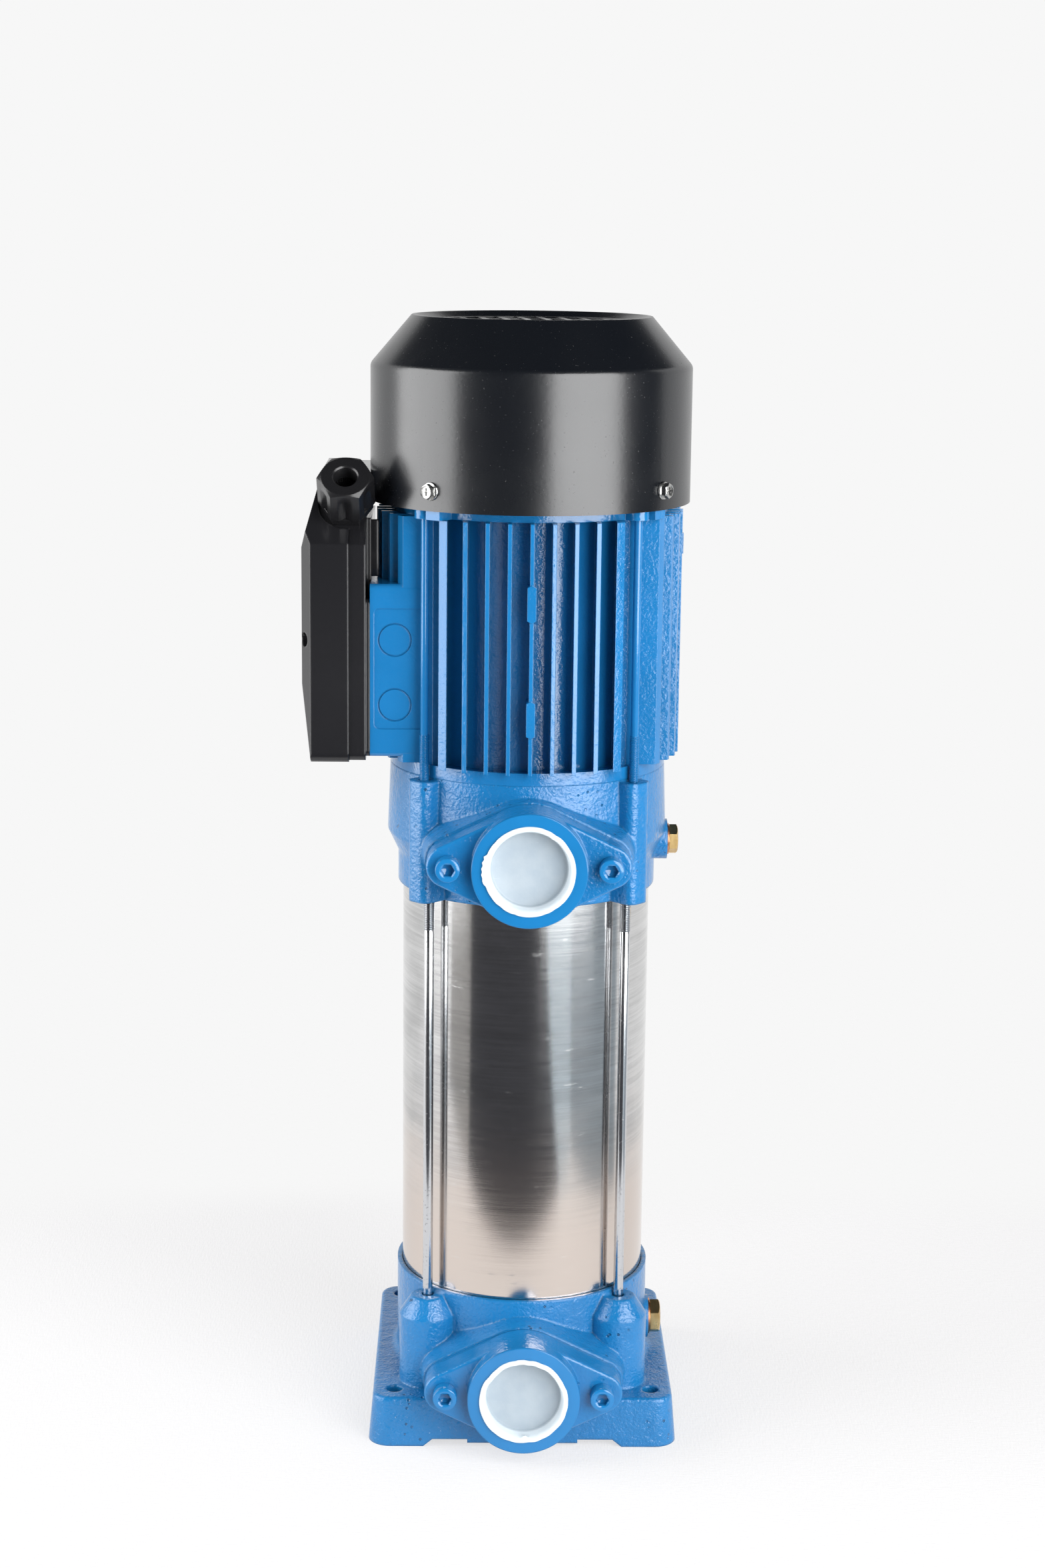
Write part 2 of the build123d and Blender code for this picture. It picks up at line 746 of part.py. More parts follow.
# Brass plugs with copper washers: the vent on the head, the drain on the base.
plug_sizes = (
    ("vent_plug", vent_height, vent_boss_reach, vent_hex, vent_head_thickness, vent_thread_od),
    ("drain_plug", drain_height, drain_boss_reach, drain_hex, drain_head_thickness, drain_thread_od),
)
for name, height, boss_reach, across_flats, head_thickness, thread_od in plug_sizes:
    head_face = boss_reach + plug_washer_thickness
    with BuildPart() as plug:
        with BuildSketch(Plane.YZ.offset(head_face)):
            with Locations((0, height)):
                RegularPolygon(across_flats / 2, 6, major_radius=False, rotation=90)
        extrude(amount=head_thickness)
        with BuildSketch(Plane.YZ.offset(head_face)):
            with Locations((0, height)):
                Circle(thread_od / 2)
        extrude(amount=-plug_thread_length)
    plug.part.label = name
    export_step(plug.part, f"parts/{name}.step")

with BuildPart() as plug_washers:
    for name, height, boss_reach, across_flats, head_thickness, thread_od in plug_sizes:
        with BuildSketch(Plane.YZ.offset(boss_reach)):
            with Locations((0, height)):
                Circle(across_flats / 2 + plug_washer_margin)
                Circle(thread_od / 2 + seat_gap, mode=Mode.SUBTRACT)
        extrude(amount=plug_washer_thickness)
plug_washers.part.label = "plug_washers"
export_step(plug_washers.part, "parts/plug_washers.step")

# Inlet disc under the first stage, with a hub on three arms in its eye.
with BuildPart() as inlet_disc:
    with BuildSketch(Plane.XY.offset(base_seat)):
        Circle(stage_outer_radius)
        Circle(inlet_eye_radius, mode=Mode.SUBTRACT)
        with PolarLocations(inlet_eye_radius / 2, inlet_arm_count, start_angle=2 * quarter_turn):
            Rectangle(inlet_eye_radius + inlet_arm_width, inlet_arm_width)
        Circle(pump_shaft_radius + bush_wall + seat_gap, mode=Mode.SUBTRACT)
    extrude(amount=inlet_disc_thickness)
    with BuildSketch(Plane.XY.offset(base_seat - inlet_hub_drop)):
        Circle(inlet_hub_radius)
        Circle(pump_shaft_radius + bush_wall + seat_gap, mode=Mode.SUBTRACT)
    extrude(amount=inlet_hub_height)
inlet_disc.part.label = "inlet_disc"
export_step(inlet_disc.part, "parts/inlet_disc.step")

with BuildPart() as guide_bush:
    with BuildSketch(Plane.XY.offset(base_seat - inlet_hub_drop)):
        Circle(pump_shaft_radius + bush_wall)
        Circle(pump_shaft_radius + running_gap, mode=Mode.SUBTRACT)
    extrude(amount=inlet_hub_height)
guide_bush.part.label = "guide_bush"
export_step(guide_bush.part, "parts/guide_bush.step")

# Blade outlines, drawn once at the pump's axis and repeated round it.
def swept_blade(inner_radius, outer_radius, sweep, thickness):
    """The outline of one blade that bends back by an angle from eye to rim."""
    with BuildSketch() as blade:
        with BuildLine():
            TangentArc(
                (inner_radius, 0),
                (outer_radius * cos(radians(sweep)), -outer_radius * sin(radians(sweep))),
                tangent=(1, -sin(radians(sweep)) / 2),
            )
        trace(line_width=thickness)
    return blade.sketch


impeller_blade = swept_blade(
    blade_inner_radius, impeller_radius - blade_thickness, blade_sweep, blade_thickness
)
return_vane = swept_blade(
    return_vane_inner_radius,
    diffuser_disc_radius - diffuser_vane_thickness,
    return_vane_sweep,
    diffuser_vane_thickness,
)

# Each stage stands on the one below: a steel cup, a diffuser with guide vanes
# on both faces, and a shrouded impeller with swept blades between them.
for stage in range(stage_count):
    number = stage + 1
    floor = stack_bottom + stage * stage_pitch
    with BuildPart() as stage_casing:
        with BuildSketch(Plane.XY.offset(floor)):
            Circle(stage_outer_radius)
            Circle(impeller_neck_radius + neck_clearance, mode=Mode.SUBTRACT)
        extrude(amount=stage_floor)
        with BuildSketch(Plane.XY.offset(floor)):
            Circle(stage_outer_radius)
            Circle(stage_outer_radius - stage_wall, mode=Mode.SUBTRACT)
        extrude(amount=stage_pitch)
    stage_casing.part.label = f"stage_casing_{number}"
    export_step(stage_casing.part, f"parts/stage_casing_{number}.step")

    with BuildPart() as diffuser:
        with BuildSketch(Plane.XY.offset(floor + diffuser_disc_height)):
            Circle(diffuser_disc_radius)
            Circle(impeller_hub_radius + diffuser_bore_clearance, mode=Mode.SUBTRACT)
        extrude(amount=diffuser_disc_thickness)
        with BuildSketch(Plane.XY.offset(floor + stage_floor)):
            vane_tip_radius = stage_outer_radius - stage_wall - slip_gap
            vane_length = vane_tip_radius - diffuser_vane_inner_radius
            with PolarLocations(vane_tip_radius - vane_length / 2, diffuser_vane_count):
                Rectangle(vane_length, diffuser_vane_thickness)
        extrude(amount=diffuser_disc_height + diffuser_disc_thickness - stage_floor)
        with BuildSketch(Plane.XY.offset(floor + diffuser_disc_height)):
            with PolarLocations(0, diffuser_vane_count):
                add(return_vane)
        extrude(amount=stage_pitch - diffuser_disc_height)
    diffuser.part.label = f"diffuser_{number}"
    export_step(diffuser.part, f"parts/diffuser_{number}.step")

    eye_plate = floor + impeller_lift
    hub_plate = eye_plate + impeller_shroud + impeller_passage
    with BuildPart() as impeller:
        with BuildSketch(Plane.XY.offset(eye_plate)):
            Circle(impeller_radius)
            Circle(impeller_neck_radius - impeller_neck_wall, mode=Mode.SUBTRACT)
        extrude(amount=impeller_shroud)
        with BuildSketch(Plane.XY.offset(floor + neck_clearance)):
            Circle(impeller_neck_radius)
            Circle(impeller_neck_radius - impeller_neck_wall, mode=Mode.SUBTRACT)
        extrude(amount=impeller_lift - neck_clearance)
        with BuildSketch(Plane.XY.offset(hub_plate)):
            Circle(impeller_radius)
            Circle(pump_shaft_radius + seat_gap, mode=Mode.SUBTRACT)
        extrude(amount=impeller_shroud)
        with BuildSketch(Plane.XY.offset(eye_plate)):
            Circle(impeller_hub_radius)
            Circle(pump_shaft_radius + seat_gap, mode=Mode.SUBTRACT)
        extrude(amount=impeller_hub_height)
        with BuildSketch(Plane.XY.offset(eye_plate + impeller_shroud / 2)):
            with PolarLocations(0, blade_count):
                add(impeller_blade)
        extrude(amount=impeller_passage + impeller_shroud)
    impeller.part.label = f"impeller_{number}"
    export_step(impeller.part, f"parts/impeller_{number}.step")

# Spacer sleeves fill the shaft between impeller hubs, and the longest one
# reaches from the last impeller up to the seal's spring plate.
seal_roof = head_bottom + head_chamber_roof
seal_face_bottom = seal_roof - seal_face_thickness
spring_bottom = seal_face_bottom - seal_spring_length
spring_plate_bottom = spring_bottom - seal_plate_thickness
hub_top = stack_bottom + impeller_lift + impeller_hub_height
spacer_bottoms = [hub_top + stage * stage_pitch for stage in range(stage_count)]
spacer_tops = [bottom + stage_pitch - impeller_hub_height for bottom in spacer_bottoms[:-1]]
spacer_tops.append(spring_plate_bottom)
with BuildPart() as impeller_spacers:
    for spacer_bottom, spacer_top in zip(spacer_bottoms, spacer_tops):
        with BuildSketch(Plane.XY.offset(spacer_bottom)):
            Circle(pump_shaft_radius + seat_gap + spacer_wall)
            Circle(pump_shaft_radius + seat_gap, mode=Mode.SUBTRACT)
        extrude(amount=spacer_top - spacer_bottom)
impeller_spacers.part.label = "impeller_spacers"
export_step(impeller_spacers.part, "parts/impeller_spacers.step")

# Nut on the shaft's lower end that clamps impellers and spacers.
nut_top = base_seat - inlet_hub_drop - slip_gap
shaft_bottom = nut_top - impeller_nut_height - shaft_end_below_nut
with BuildPart() as impeller_nut:
    with BuildSketch(Plane.XY.offset(nut_top)):
        RegularPolygon(impeller_nut_hex / 2, 6, major_radius=False)
        Circle(pump_shaft_radius + seat_gap, mode=Mode.SUBTRACT)
    extrude(amount=-impeller_nut_height)
impeller_nut.part.label = "impeller_nut"
export_step(impeller_nut.part, "parts/impeller_nut.step")

# Disc and skirt over the last stage that lead the water into the head.
with BuildPart() as discharge_disc:
    with BuildSketch(Plane.XY.offset(stack_top)):
        Circle(stage_outer_radius)
        Circle(impeller_hub_radius + diffuser_bore_clearance, mode=Mode.SUBTRACT)
        with PolarLocations(discharge_window_radius, discharge_window_count):
            Circle(discharge_window_od / 2, mode=Mode.SUBTRACT)
    extrude(amount=discharge_disc_thickness)
    with BuildSketch(Plane.XY.offset(stack_top)):
        Circle(stage_outer_radius)
        Circle(stage_outer_radius - stage_wall, mode=Mode.SUBTRACT)
    extrude(amount=head_seat - stack_top)
discharge_disc.part.label = "discharge_disc"
export_step(discharge_disc.part, "parts/discharge_disc.step")

# Mechanical seal: a ceramic seat in the head's roof, and a carbon ring pressed
# up against it by a coil spring that turns with the shaft.
with BuildPart() as seal_seat:
    with BuildSketch(Plane.XY.offset(seal_roof)):
        Circle(seal_seat_od / 2)
        Circle(bearing_bore / 2 + shaft_passage, mode=Mode.SUBTRACT)
    extrude(amount=seal_seat_thickness)
seal_seat.part.label = "seal_seat"
export_step(seal_seat.part, "parts/seal_seat.step")

with BuildPart() as seal_ring:
    with BuildSketch(Plane.XY.offset(seal_face_bottom)):
        Circle(seal_face_od / 2)
        Circle(pump_shaft_radius + seat_gap, mode=Mode.SUBTRACT)
    extrude(amount=seal_face_thickness)
    with BuildSketch(Plane.XY.offset(spring_plate_bottom)):
        Circle(seal_face_od / 2)
        Circle(pump_shaft_radius + seat_gap, mode=Mode.SUBTRACT)
    extrude(amount=seal_plate_thickness)
seal_ring.part.label = "seal_ring"
export_step(seal_ring.part, "parts/seal_ring.step")

coil_travel = seal_spring_length - seal_spring_wire
coil_radius = seal_face_od / 2 - seal_spring_wire
coil_start = (0, 0, spring_bottom + seal_spring_wire / 2)
with BuildPart() as seal_spring:
    with BuildLine() as coil:
        Helix(coil_travel / seal_spring_turns, coil_travel, coil_radius, center=coil_start)
    with BuildSketch(Plane(coil.line @ 0, z_dir=coil.line % 0)):
        Rectangle(seal_spring_wire, seal_spring_wire)
    sweep()
seal_spring.part.label = "seal_spring"
export_step(seal_spring.part, "parts/seal_spring.step")

# One shaft carries the impellers, the rotor and the fan.
fan_top = fan_height + fan_hub_height
shaft_steps = (
    (shaft_bottom, pump_shaft_od),
    (seal_roof + slip_gap, bearing_bore),
    (head_top, rotor_seat_od),
    (upper_bearing_bottom, bearing_bore),
    (fan_height - shaft_above_fan, fan_seat_od),
    (fan_top + shaft_above_fan, fan_seat_od),
)
with BuildPart() as motor_shaft:
    for (step_bottom, step_od), (step_top, _) in zip(shaft_steps, shaft_steps[1:]):
        with BuildSketch(Plane.XY.offset(step_bottom)):
            Circle(step_od / 2)
        extrude(amount=step_top - step_bottom)
    chamfer(motor_shaft.edges().filter_by(GeomType.CIRCLE).group_by(Axis.Z)[-1], shaft_chamfer)
    chamfer(motor_shaft.edges().filter_by(GeomType.CIRCLE).group_by(Axis.Z)[0], shaft_chamfer)
motor_shaft.part.label = "motor_shaft"
export_step(motor_shaft.part, "parts/motor_shaft.step")

# Shielded ball bearings. The shields close the ball track, so each outer race
# is one solid ring up to the small gap that leaves the inner race free.
bearing_sizes = (
    ("lower_bearing", lower_bearing_bottom, lower_bearing_od, lower_bearing_width),
    ("upper_bearing", upper_bearing_bottom, upper_bearing_od, upper_bearing_width),
)
for name, bottom, outer_od, width in bearing_sizes:
    inner_race_radius = bearing_bore / 2 + race_wall
    with BuildPart() as outer_race:
        with BuildSketch(Plane.XY.offset(bottom)):
            Circle(outer_od / 2)
            Circle(inner_race_radius + slip_gap, mode=Mode.SUBTRACT)
        extrude(amount=width)
    outer_race.part.label = f"{name}_outer_race"
    export_step(outer_race.part, f"parts/{name}_outer_race.step")
    with BuildPart() as inner_race:
        with BuildSketch(Plane.XY.offset(bottom)):
            Circle(inner_race_radius)
            Circle(bearing_bore / 2 + seat_gap, mode=Mode.SUBTRACT)
        extrude(amount=width)
    inner_race.part.label = f"{name}_inner_race"
    export_step(inner_race.part, f"parts/{name}_inner_race.step")

# Motor core: laminated rotor with its end rings, laminated stator and the two
# rings of copper windings that stand out of it.
rotor_radius = stator_inner_radius - air_gap
with BuildPart() as rotor_core:
    with BuildSketch(Plane.XY.offset(core_bottom)):
        Circle(rotor_radius)
    extrude(amount=core_length)
    with BuildSketch(Plane.XY.offset(core_bottom - end_ring_height)):
        Circle(rotor_radius - slip_gap)
        Circle(end_ring_inner_radius, mode=Mode.SUBTRACT)
    extrude(amount=core_length + 2 * end_ring_height)
    with BuildSketch(Plane.XY.offset(core_bottom)):
        Circle(rotor_seat_od / 2 + seat_gap)
    extrude(amount=core_length, mode=Mode.SUBTRACT)
rotor_core.part.label = "rotor_core"
export_step(rotor_core.part, "parts/rotor_core.step")

with BuildPart() as stator_core:
    with BuildSketch(Plane.XY.offset(core_bottom)):
        Circle(motor_bore_radius - seat_gap)
        Circle(stator_inner_radius, mode=Mode.SUBTRACT)
    extrude(amount=core_length)
stator_core.part.label = "stator_core"
export_step(stator_core.part, "parts/stator_core.step")

with BuildPart() as stator_windings:
    for winding_bottom in (core_bottom - winding_height, core_top):
        with BuildSketch(Plane.XY.offset(winding_bottom)):
            Circle(winding_outer_radius)
            Circle(winding_inner_radius, mode=Mode.SUBTRACT)
        extrude(amount=winding_height)
    fillet(stator_windings.edges().group_by(Axis.Z)[0], winding_round)
    fillet(stator_windings.edges().group_by(Axis.Z)[-1], winding_round)
stator_windings.part.label = "stator_windings"
export_step(stator_windings.part, "parts/stator_windings.step")

# Motor housing: a cast shell with square corners, straight cooling fins on
# four sides and a pedestal for the terminal box.
pedestal_bottom = head_top + pedestal_lift
pedestal_middle = pedestal_bottom + pedestal_height / 2


def side_plane(reach, height):
    """A plane that faces the terminal box's side at a distance from the axis."""
    return Plane((-reach, 0, height), x_dir=(0, -1, 0), z_dir=(-1, 0, 0))


with BuildPart() as motor_housing:
    with BuildSketch(Plane.XY.offset(head_top)):
        Circle(motor_shell_radius)
        Rectangle(motor_corner_span, motor_corner_span)
    extrude(amount=motor_flange_height + fin_length)
    with BuildSketch(Plane.XY.offset(head_top)):
        Circle(head_top_radius)
    extrude(amount=motor_flange_height)
    with BuildSketch(Plane.XY.offset(fin_bottom)):
        with PolarLocations(0, 4):
            with GridLocations(0, fin_pitch, 1, fin_count):
                Polygon(
                    (motor_shell_radius / 2, fin_root_thickness / 2),
                    (motor_shell_radius / 2, -fin_root_thickness / 2),
                    (fin_tip_radius, -fin_tip_thickness / 2),
                    (fin_tip_radius, fin_tip_thickness / 2),
                    align=None,
                )
            with Locations((fin_tip_radius / 2, end_fin_place), (fin_tip_radius / 2, -end_fin_place)):
                Rectangle(fin_tip_radius, end_fin_thickness)
        Circle(fin_tip_radius, mode=Mode.INTERSECT)
    extrude(amount=fin_length)
    for pad_height in (fin_pad_lower, fin_pad_upper):
        with BuildSketch(port_plane(fin_tip_radius + fin_pad_proud, fin_bottom + pad_height)):
            with GridLocations(0, fin_pad_height - fin_pad_width, 1, 2):
                RegularPolygon(fin_pad_width / 2, 6, major_radius=False, rotation=30)
            make_hull()
        extrude(amount=-(fin_tip_radius + fin_pad_proud - motor_shell_radius))
    with BuildSketch(Plane.YZ.offset(motor_shell_radius)):
        with Locations((0, fin_bottom + side_pad_lift)):
            Rectangle(fin_pad_width, side_pad_height)
    extrude(amount=fin_tip_radius + fin_pad_proud - motor_shell_radius)
    with BuildSketch(side_plane(pedestal_reach, pedestal_middle)):
        RectangleRounded(pedestal_width, pedestal_height, pedestal_round)
    extrude(amount=-(pedestal_reach - motor_bore_radius / 2))
    with BuildSketch(side_plane(pedestal_reach, pedestal_middle)):
        RectangleRounded(
            pedestal_width - 2 * pedestal_wall, pedestal_height - 2 * pedestal_wall, pedestal_round
        )
    extrude(amount=-pedestal_pocket_depth, mode=Mode.SUBTRACT)
    for side in (-1, 1):
        face_plane = Plane.XZ.offset(-side * pedestal_width / 2)
        panel_middle = -pedestal_reach + (pedestal_round + panel_length) / 2 + panel_sink
        with BuildSketch(face_plane):
            with Locations((panel_middle, pedestal_bottom + panel_bottom + panel_height / 2)):
                RectangleRounded(panel_length, panel_height, pedestal_round)
        extrude(amount=side * panel_sink, mode=Mode.SUBTRACT)
        with BuildSketch(face_plane.offset(side * panel_sink)):
            with Locations(
                (-pedestal_reach + knockout_offset, pedestal_bottom + knockout_lower),
                (-pedestal_reach + knockout_offset, pedestal_bottom + knockout_upper),
            ):
                Circle(knockout_radius)
                Circle(knockout_radius - knockout_groove, mode=Mode.SUBTRACT)
        extrude(amount=side * knockout_groove, mode=Mode.SUBTRACT)
    with BuildSketch(Plane.XY.offset(head_top)):
        Circle(motor_bore_radius)
    extrude(amount=motor_flange_height + fin_length, mode=Mode.SUBTRACT)
motor_housing.part.label = "motor_housing"
export_step(motor_housing.part, "parts/motor_housing.step")

# Fan end shield: closes the housing, holds the upper bearing, takes the through
# bolts on four ears and the cover's screws in four posts.
cover_inner_radius = cover_radius - cover_wall
post_reach = cover_inner_radius - slip_gap
with BuildPart() as fan_end_shield:
    with BuildSketch(Plane.XY.offset(fin_top)):
        Circle(shield_radius)
        with PolarLocations(bolt_circle_radius, 4, start_angle=quarter_turn):
            Circle(bolt_ear_radius)
        with PolarLocations(bolt_circle_radius / 2, 4, start_angle=quarter_turn):
            Rectangle(bolt_circle_radius, 2 * bolt_ear_radius)
    extrude(amount=shield_thickness)
    with BuildSketch(Plane.XY.offset(fin_top)):
        post_middle = (cover_post_inner + post_reach) / 2
        with PolarLocations(post_middle, 4, start_angle=quarter_turn + cover_screw_turn):
            Rectangle(post_reach - cover_post_inner, cover_post_width)
    extrude(amount=shield_thickness + cover_post_height)
    with BuildSketch(Plane.XY.offset(fin_top - shield_spigot)):
        Circle(motor_bore_radius - slip_gap)
        Circle(motor_bore_radius - slip_gap - register_wall, mode=Mode.SUBTRACT)
    extrude(amount=shield_spigot)
    with BuildSketch(Plane.XY.offset(fin_top - bearing_hub_reach)):
        Circle(upper_bearing_od / 2 + bearing_hub_wall)
    extrude(amount=bearing_hub_reach)
    with BuildSketch(Plane.XY.offset(fin_top - bearing_hub_reach)):
        Circle(upper_bearing_od / 2 + seat_gap)
    extrude(amount=bearing_hub_reach, mode=Mode.SUBTRACT)
    with BuildSketch(Plane.XY.offset(fin_top)):
        Circle(bearing_bore / 2 + shaft_passage)
        with PolarLocations(bolt_circle_radius, 4, start_angle=quarter_turn):
            Circle(bolt_shank_od / 2 + slip_gap)
    extrude(amount=shield_thickness, mode=Mode.SUBTRACT)
    for turn in range(4):
        turned = quarter_turn + cover_screw_turn + 90 * turn
        with BuildSketch(diagonal_plane(turned, cover_screw_height).offset(post_reach)):
            Circle(cover_screw_od / 2 + seat_gap)
        extrude(amount=-cover_screw_length, mode=Mode.SUBTRACT)
fan_end_shield.part.label = "fan_end_shield"
export_step(fan_end_shield.part, "parts/fan_end_shield.step")

# Four long bolts from the fan end shield down into the head's lugs.
with BuildPart() as through_bolts:
    with BuildSketch(Plane.XY.offset(lug_top - bolt_entry)):
        with PolarLocations(bolt_circle_radius, 4, start_angle=quarter_turn):
            Circle(bolt_thread_od / 2)
    extrude(amount=bolt_entry + bolt_thread_showing)
    with BuildSketch(Plane.XY.offset(lug_top + bolt_thread_showing)):
        with PolarLocations(bolt_circle_radius, 4, start_angle=quarter_turn):
            Circle(bolt_shank_od / 2)
    extrude(amount=shield_top - lug_top - bolt_thread_showing)
    with BuildSketch(Plane.XY.offset(shield_top)):
        with PolarLocations(bolt_circle_radius, 4, start_angle=quarter_turn):
            RegularPolygon(bolt_head_hex / 2, 6, major_radius=False)
    extrude(amount=bolt_head_height)
through_bolts.part.label = "through_bolts"
export_step(through_bolts.part, "parts/through_bolts.step")

# Moulded radial fan on the shaft's upper end.
with BuildPart() as cooling_fan:
    with BuildSketch(Plane.XY.offset(fan_height)):
        Circle(fan_radius)
    extrude(amount=fan_disc_thickness)
    with BuildSketch(Plane.XY.offset(fan_height)):
        Circle(fan_hub_radius)
    extrude(amount=fan_hub_height)
    with BuildSketch(Plane.XY.offset(fan_height)):
        with PolarLocations(fan_radius / 2, fan_blade_count):
            Rectangle(fan_radius, fan_blade_thickness)
        Circle(fan_radius, mode=Mode.INTERSECT)
        Circle(fan_hub_radius - fan_blade_thickness, mode=Mode.SUBTRACT)
    extrude(amount=fan_disc_thickness + fan_blade_height)
    with BuildSketch(Plane.XY.offset(fan_height)):
        Circle(fan_seat_od / 2 + seat_gap)
    extrude(amount=fan_hub_height, mode=Mode.SUBTRACT)
cooling_fan.part.label = "cooling_fan"
export_step(cooling_fan.part, "parts/cooling_fan.step")

# Pressed steel fan cover: a cylinder, a cone and a sunk grille in the top.
cone_rate = (cover_radius - cover_top_radius) / cover_cone
cone_wall = cover_wall * sqrt(1 + cone_rate * cone_rate)
grille_top = cover_top - cover_lip
grille_bottom = grille_top - cover_wall
inner_top_radius = cover_top_radius + cone_rate * (cover_top - grille_bottom) - cone_wall
inner_shoulder = grille_bottom - (cover_inner_radius - inner_top_radius) / cone_rate
grille_way = diagonal_plane(cover_screw_turn).z_dir
grille_plane = Plane((0, 0, grille_bottom), x_dir=grille_way, z_dir=(0, 0, 1))
with BuildPart() as fan_cover:
    with BuildSketch(Plane.XZ):
        with BuildLine():
            Polyline(
                (cover_inner_radius, cover_bottom),
                (cover_radius, cover_bottom),
                (cover_radius, cover_shoulder),
                (cover_top_radius, cover_top),
                (cover_top_radius - cover_lip_wall, cover_top),
                (dish_rim, grille_top),
                (0, grille_top),
                (0, grille_bottom),
                (inner_top_radius, grille_bottom),
                (cover_inner_radius, inner_shoulder),
                close=True,
            )
        make_face()
    revolve(axis=Axis.Z)
    outer_rims = fan_cover.edges().filter_by(GeomType.CIRCLE).filter_by_position(
        Axis.Z, cover_shoulder - seat_gap, cover_shoulder + seat_gap
    )
    fillet(outer_rims, cover_shoulder_round)
    fillet(fan_cover.edges().filter_by(GeomType.CIRCLE).group_by(Axis.Z)[-1], cover_rim_round)
    dish_edge = fan_cover.edges().filter_by(GeomType.CIRCLE).filter_by_position(
        Axis.Z, grille_top - seat_gap, grille_top + seat_gap
    )
    fillet(dish_edge, dish_round)
    with BuildSketch(grille_plane):
        Circle(grille_radius)
        for ring_radius, ring_width in (
            (grille_ring_radius, grille_ring_width),
            (grille_hub_radius - grille_hub_width / 2, grille_hub_width),
        ):
            Circle(ring_radius + ring_width / 2, mode=Mode.SUBTRACT)
            Circle(ring_radius - ring_width / 2)
        with GridLocations(grille_pitch, 0, grille_bars, 1):
            Rectangle(grille_bar_width, 2 * grille_radius, mode=Mode.SUBTRACT)
    extrude(amount=cover_wall, mode=Mode.SUBTRACT)
    for turn in range(4):
        turned = quarter_turn + cover_screw_turn + 90 * turn
        with BuildSketch(diagonal_plane(turned, cover_screw_height).offset(post_reach)):
            Circle(cover_screw_od / 2 + slip_gap)
        extrude(amount=2 * cover_wall, mode=Mode.SUBTRACT)
fan_cover.part.label = "fan_cover"
export_step(fan_cover.part, "parts/fan_cover.step")

# Hexagon flange screws that hold the cover.
with BuildPart() as fan_cover_screws:
    for turn in range(4):
        turned = quarter_turn + cover_screw_turn + 90 * turn
        outwards = diagonal_plane(turned, cover_screw_height)
        with BuildSketch(outwards.offset(cover_radius - cover_screw_length + slip_gap)):
            Circle(cover_screw_od / 2)
        extrude(amount=cover_screw_length)
        with BuildSketch(outwards.offset(cover_radius)):
            Circle(cover_screw_flange_od / 2)
        extrude(amount=cover_screw_flange_thickness)
        with BuildSketch(outwards.offset(cover_radius)):
            RegularPolygon(cover_screw_head_hex / 2, 6, major_radius=False)
        extrude(amount=cover_screw_head_height)
fan_cover_screws.part.label = "fan_cover_screws"
export_step(fan_cover_screws.part, "parts/fan_cover_screws.step")

# Terminal box outline: a rectangle seen from the side, with its upper front
# corner cut at 45 degrees for the cable gland.
box_middle = pedestal_bottom - box_bottom_drop + box_height / 2


def box_outline(margin):
    """The box's outline round its own middle, grown by a margin."""
    with BuildSketch() as outline:
        Rectangle(box_width + 2 * margin, box_height + 2 * margin)
        by_corner = outline.vertices().sort_by(lambda v: v.X + v.Y)
        fillet(by_corner[:-1], box_corner + margin)
        chamfer(outline.vertices().sort_by(lambda v: v.X + v.Y)[-1], box_slope + margin * (2 - sqrt(2)))
    return outline.sketch


tray_reach = pedestal_reach + box_stand
box_reach = tray_reach + box_depth
lid_reach = box_reach + lid_depth
panel_reach = lid_reach + lid_panel_rise
box_bottom = box_middle - box_height / 2
gland_reach = box_reach + gland_rise
gland_y = -(box_width - box_slope) / 2
gland_z = box_middle + (box_height - box_slope) / 2
gland_plane = Plane((-gland_reach, gland_y, gland_z), x_dir=(-1, 0, 0), z_dir=(0, -sine, sine))
lid_screw_spots = (
    (box_width / 2 - lid_screw_inset, -lid_screw_drop),
    (-box_width / 2 + lid_screw_inset, -lid_screw_drop),
    (0, -box_height / 2 + lid_screw_inset),
    (-box_width / 4, box_height / 2 - lid_screw_inset),
)
wire_opening = pedestal_width - 4 * pedestal_wall


def gland_tab(margin):
    """The tab's outline round the gland: straight at the tray, round outside."""
    with BuildSketch() as outline:
        Circle(gland_tab_radius + margin)
        with Locations((-gland_tab_radius, 0)):
            Rectangle(2 * gland_tab_radius, 4 * gland_tab_radius, mode=Mode.SUBTRACT)
        with Locations(((tray_reach - gland_reach) / 2, 0)):
            Rectangle(gland_reach - tray_reach, 2 * (gland_tab_radius + margin))
    return outline.sketch


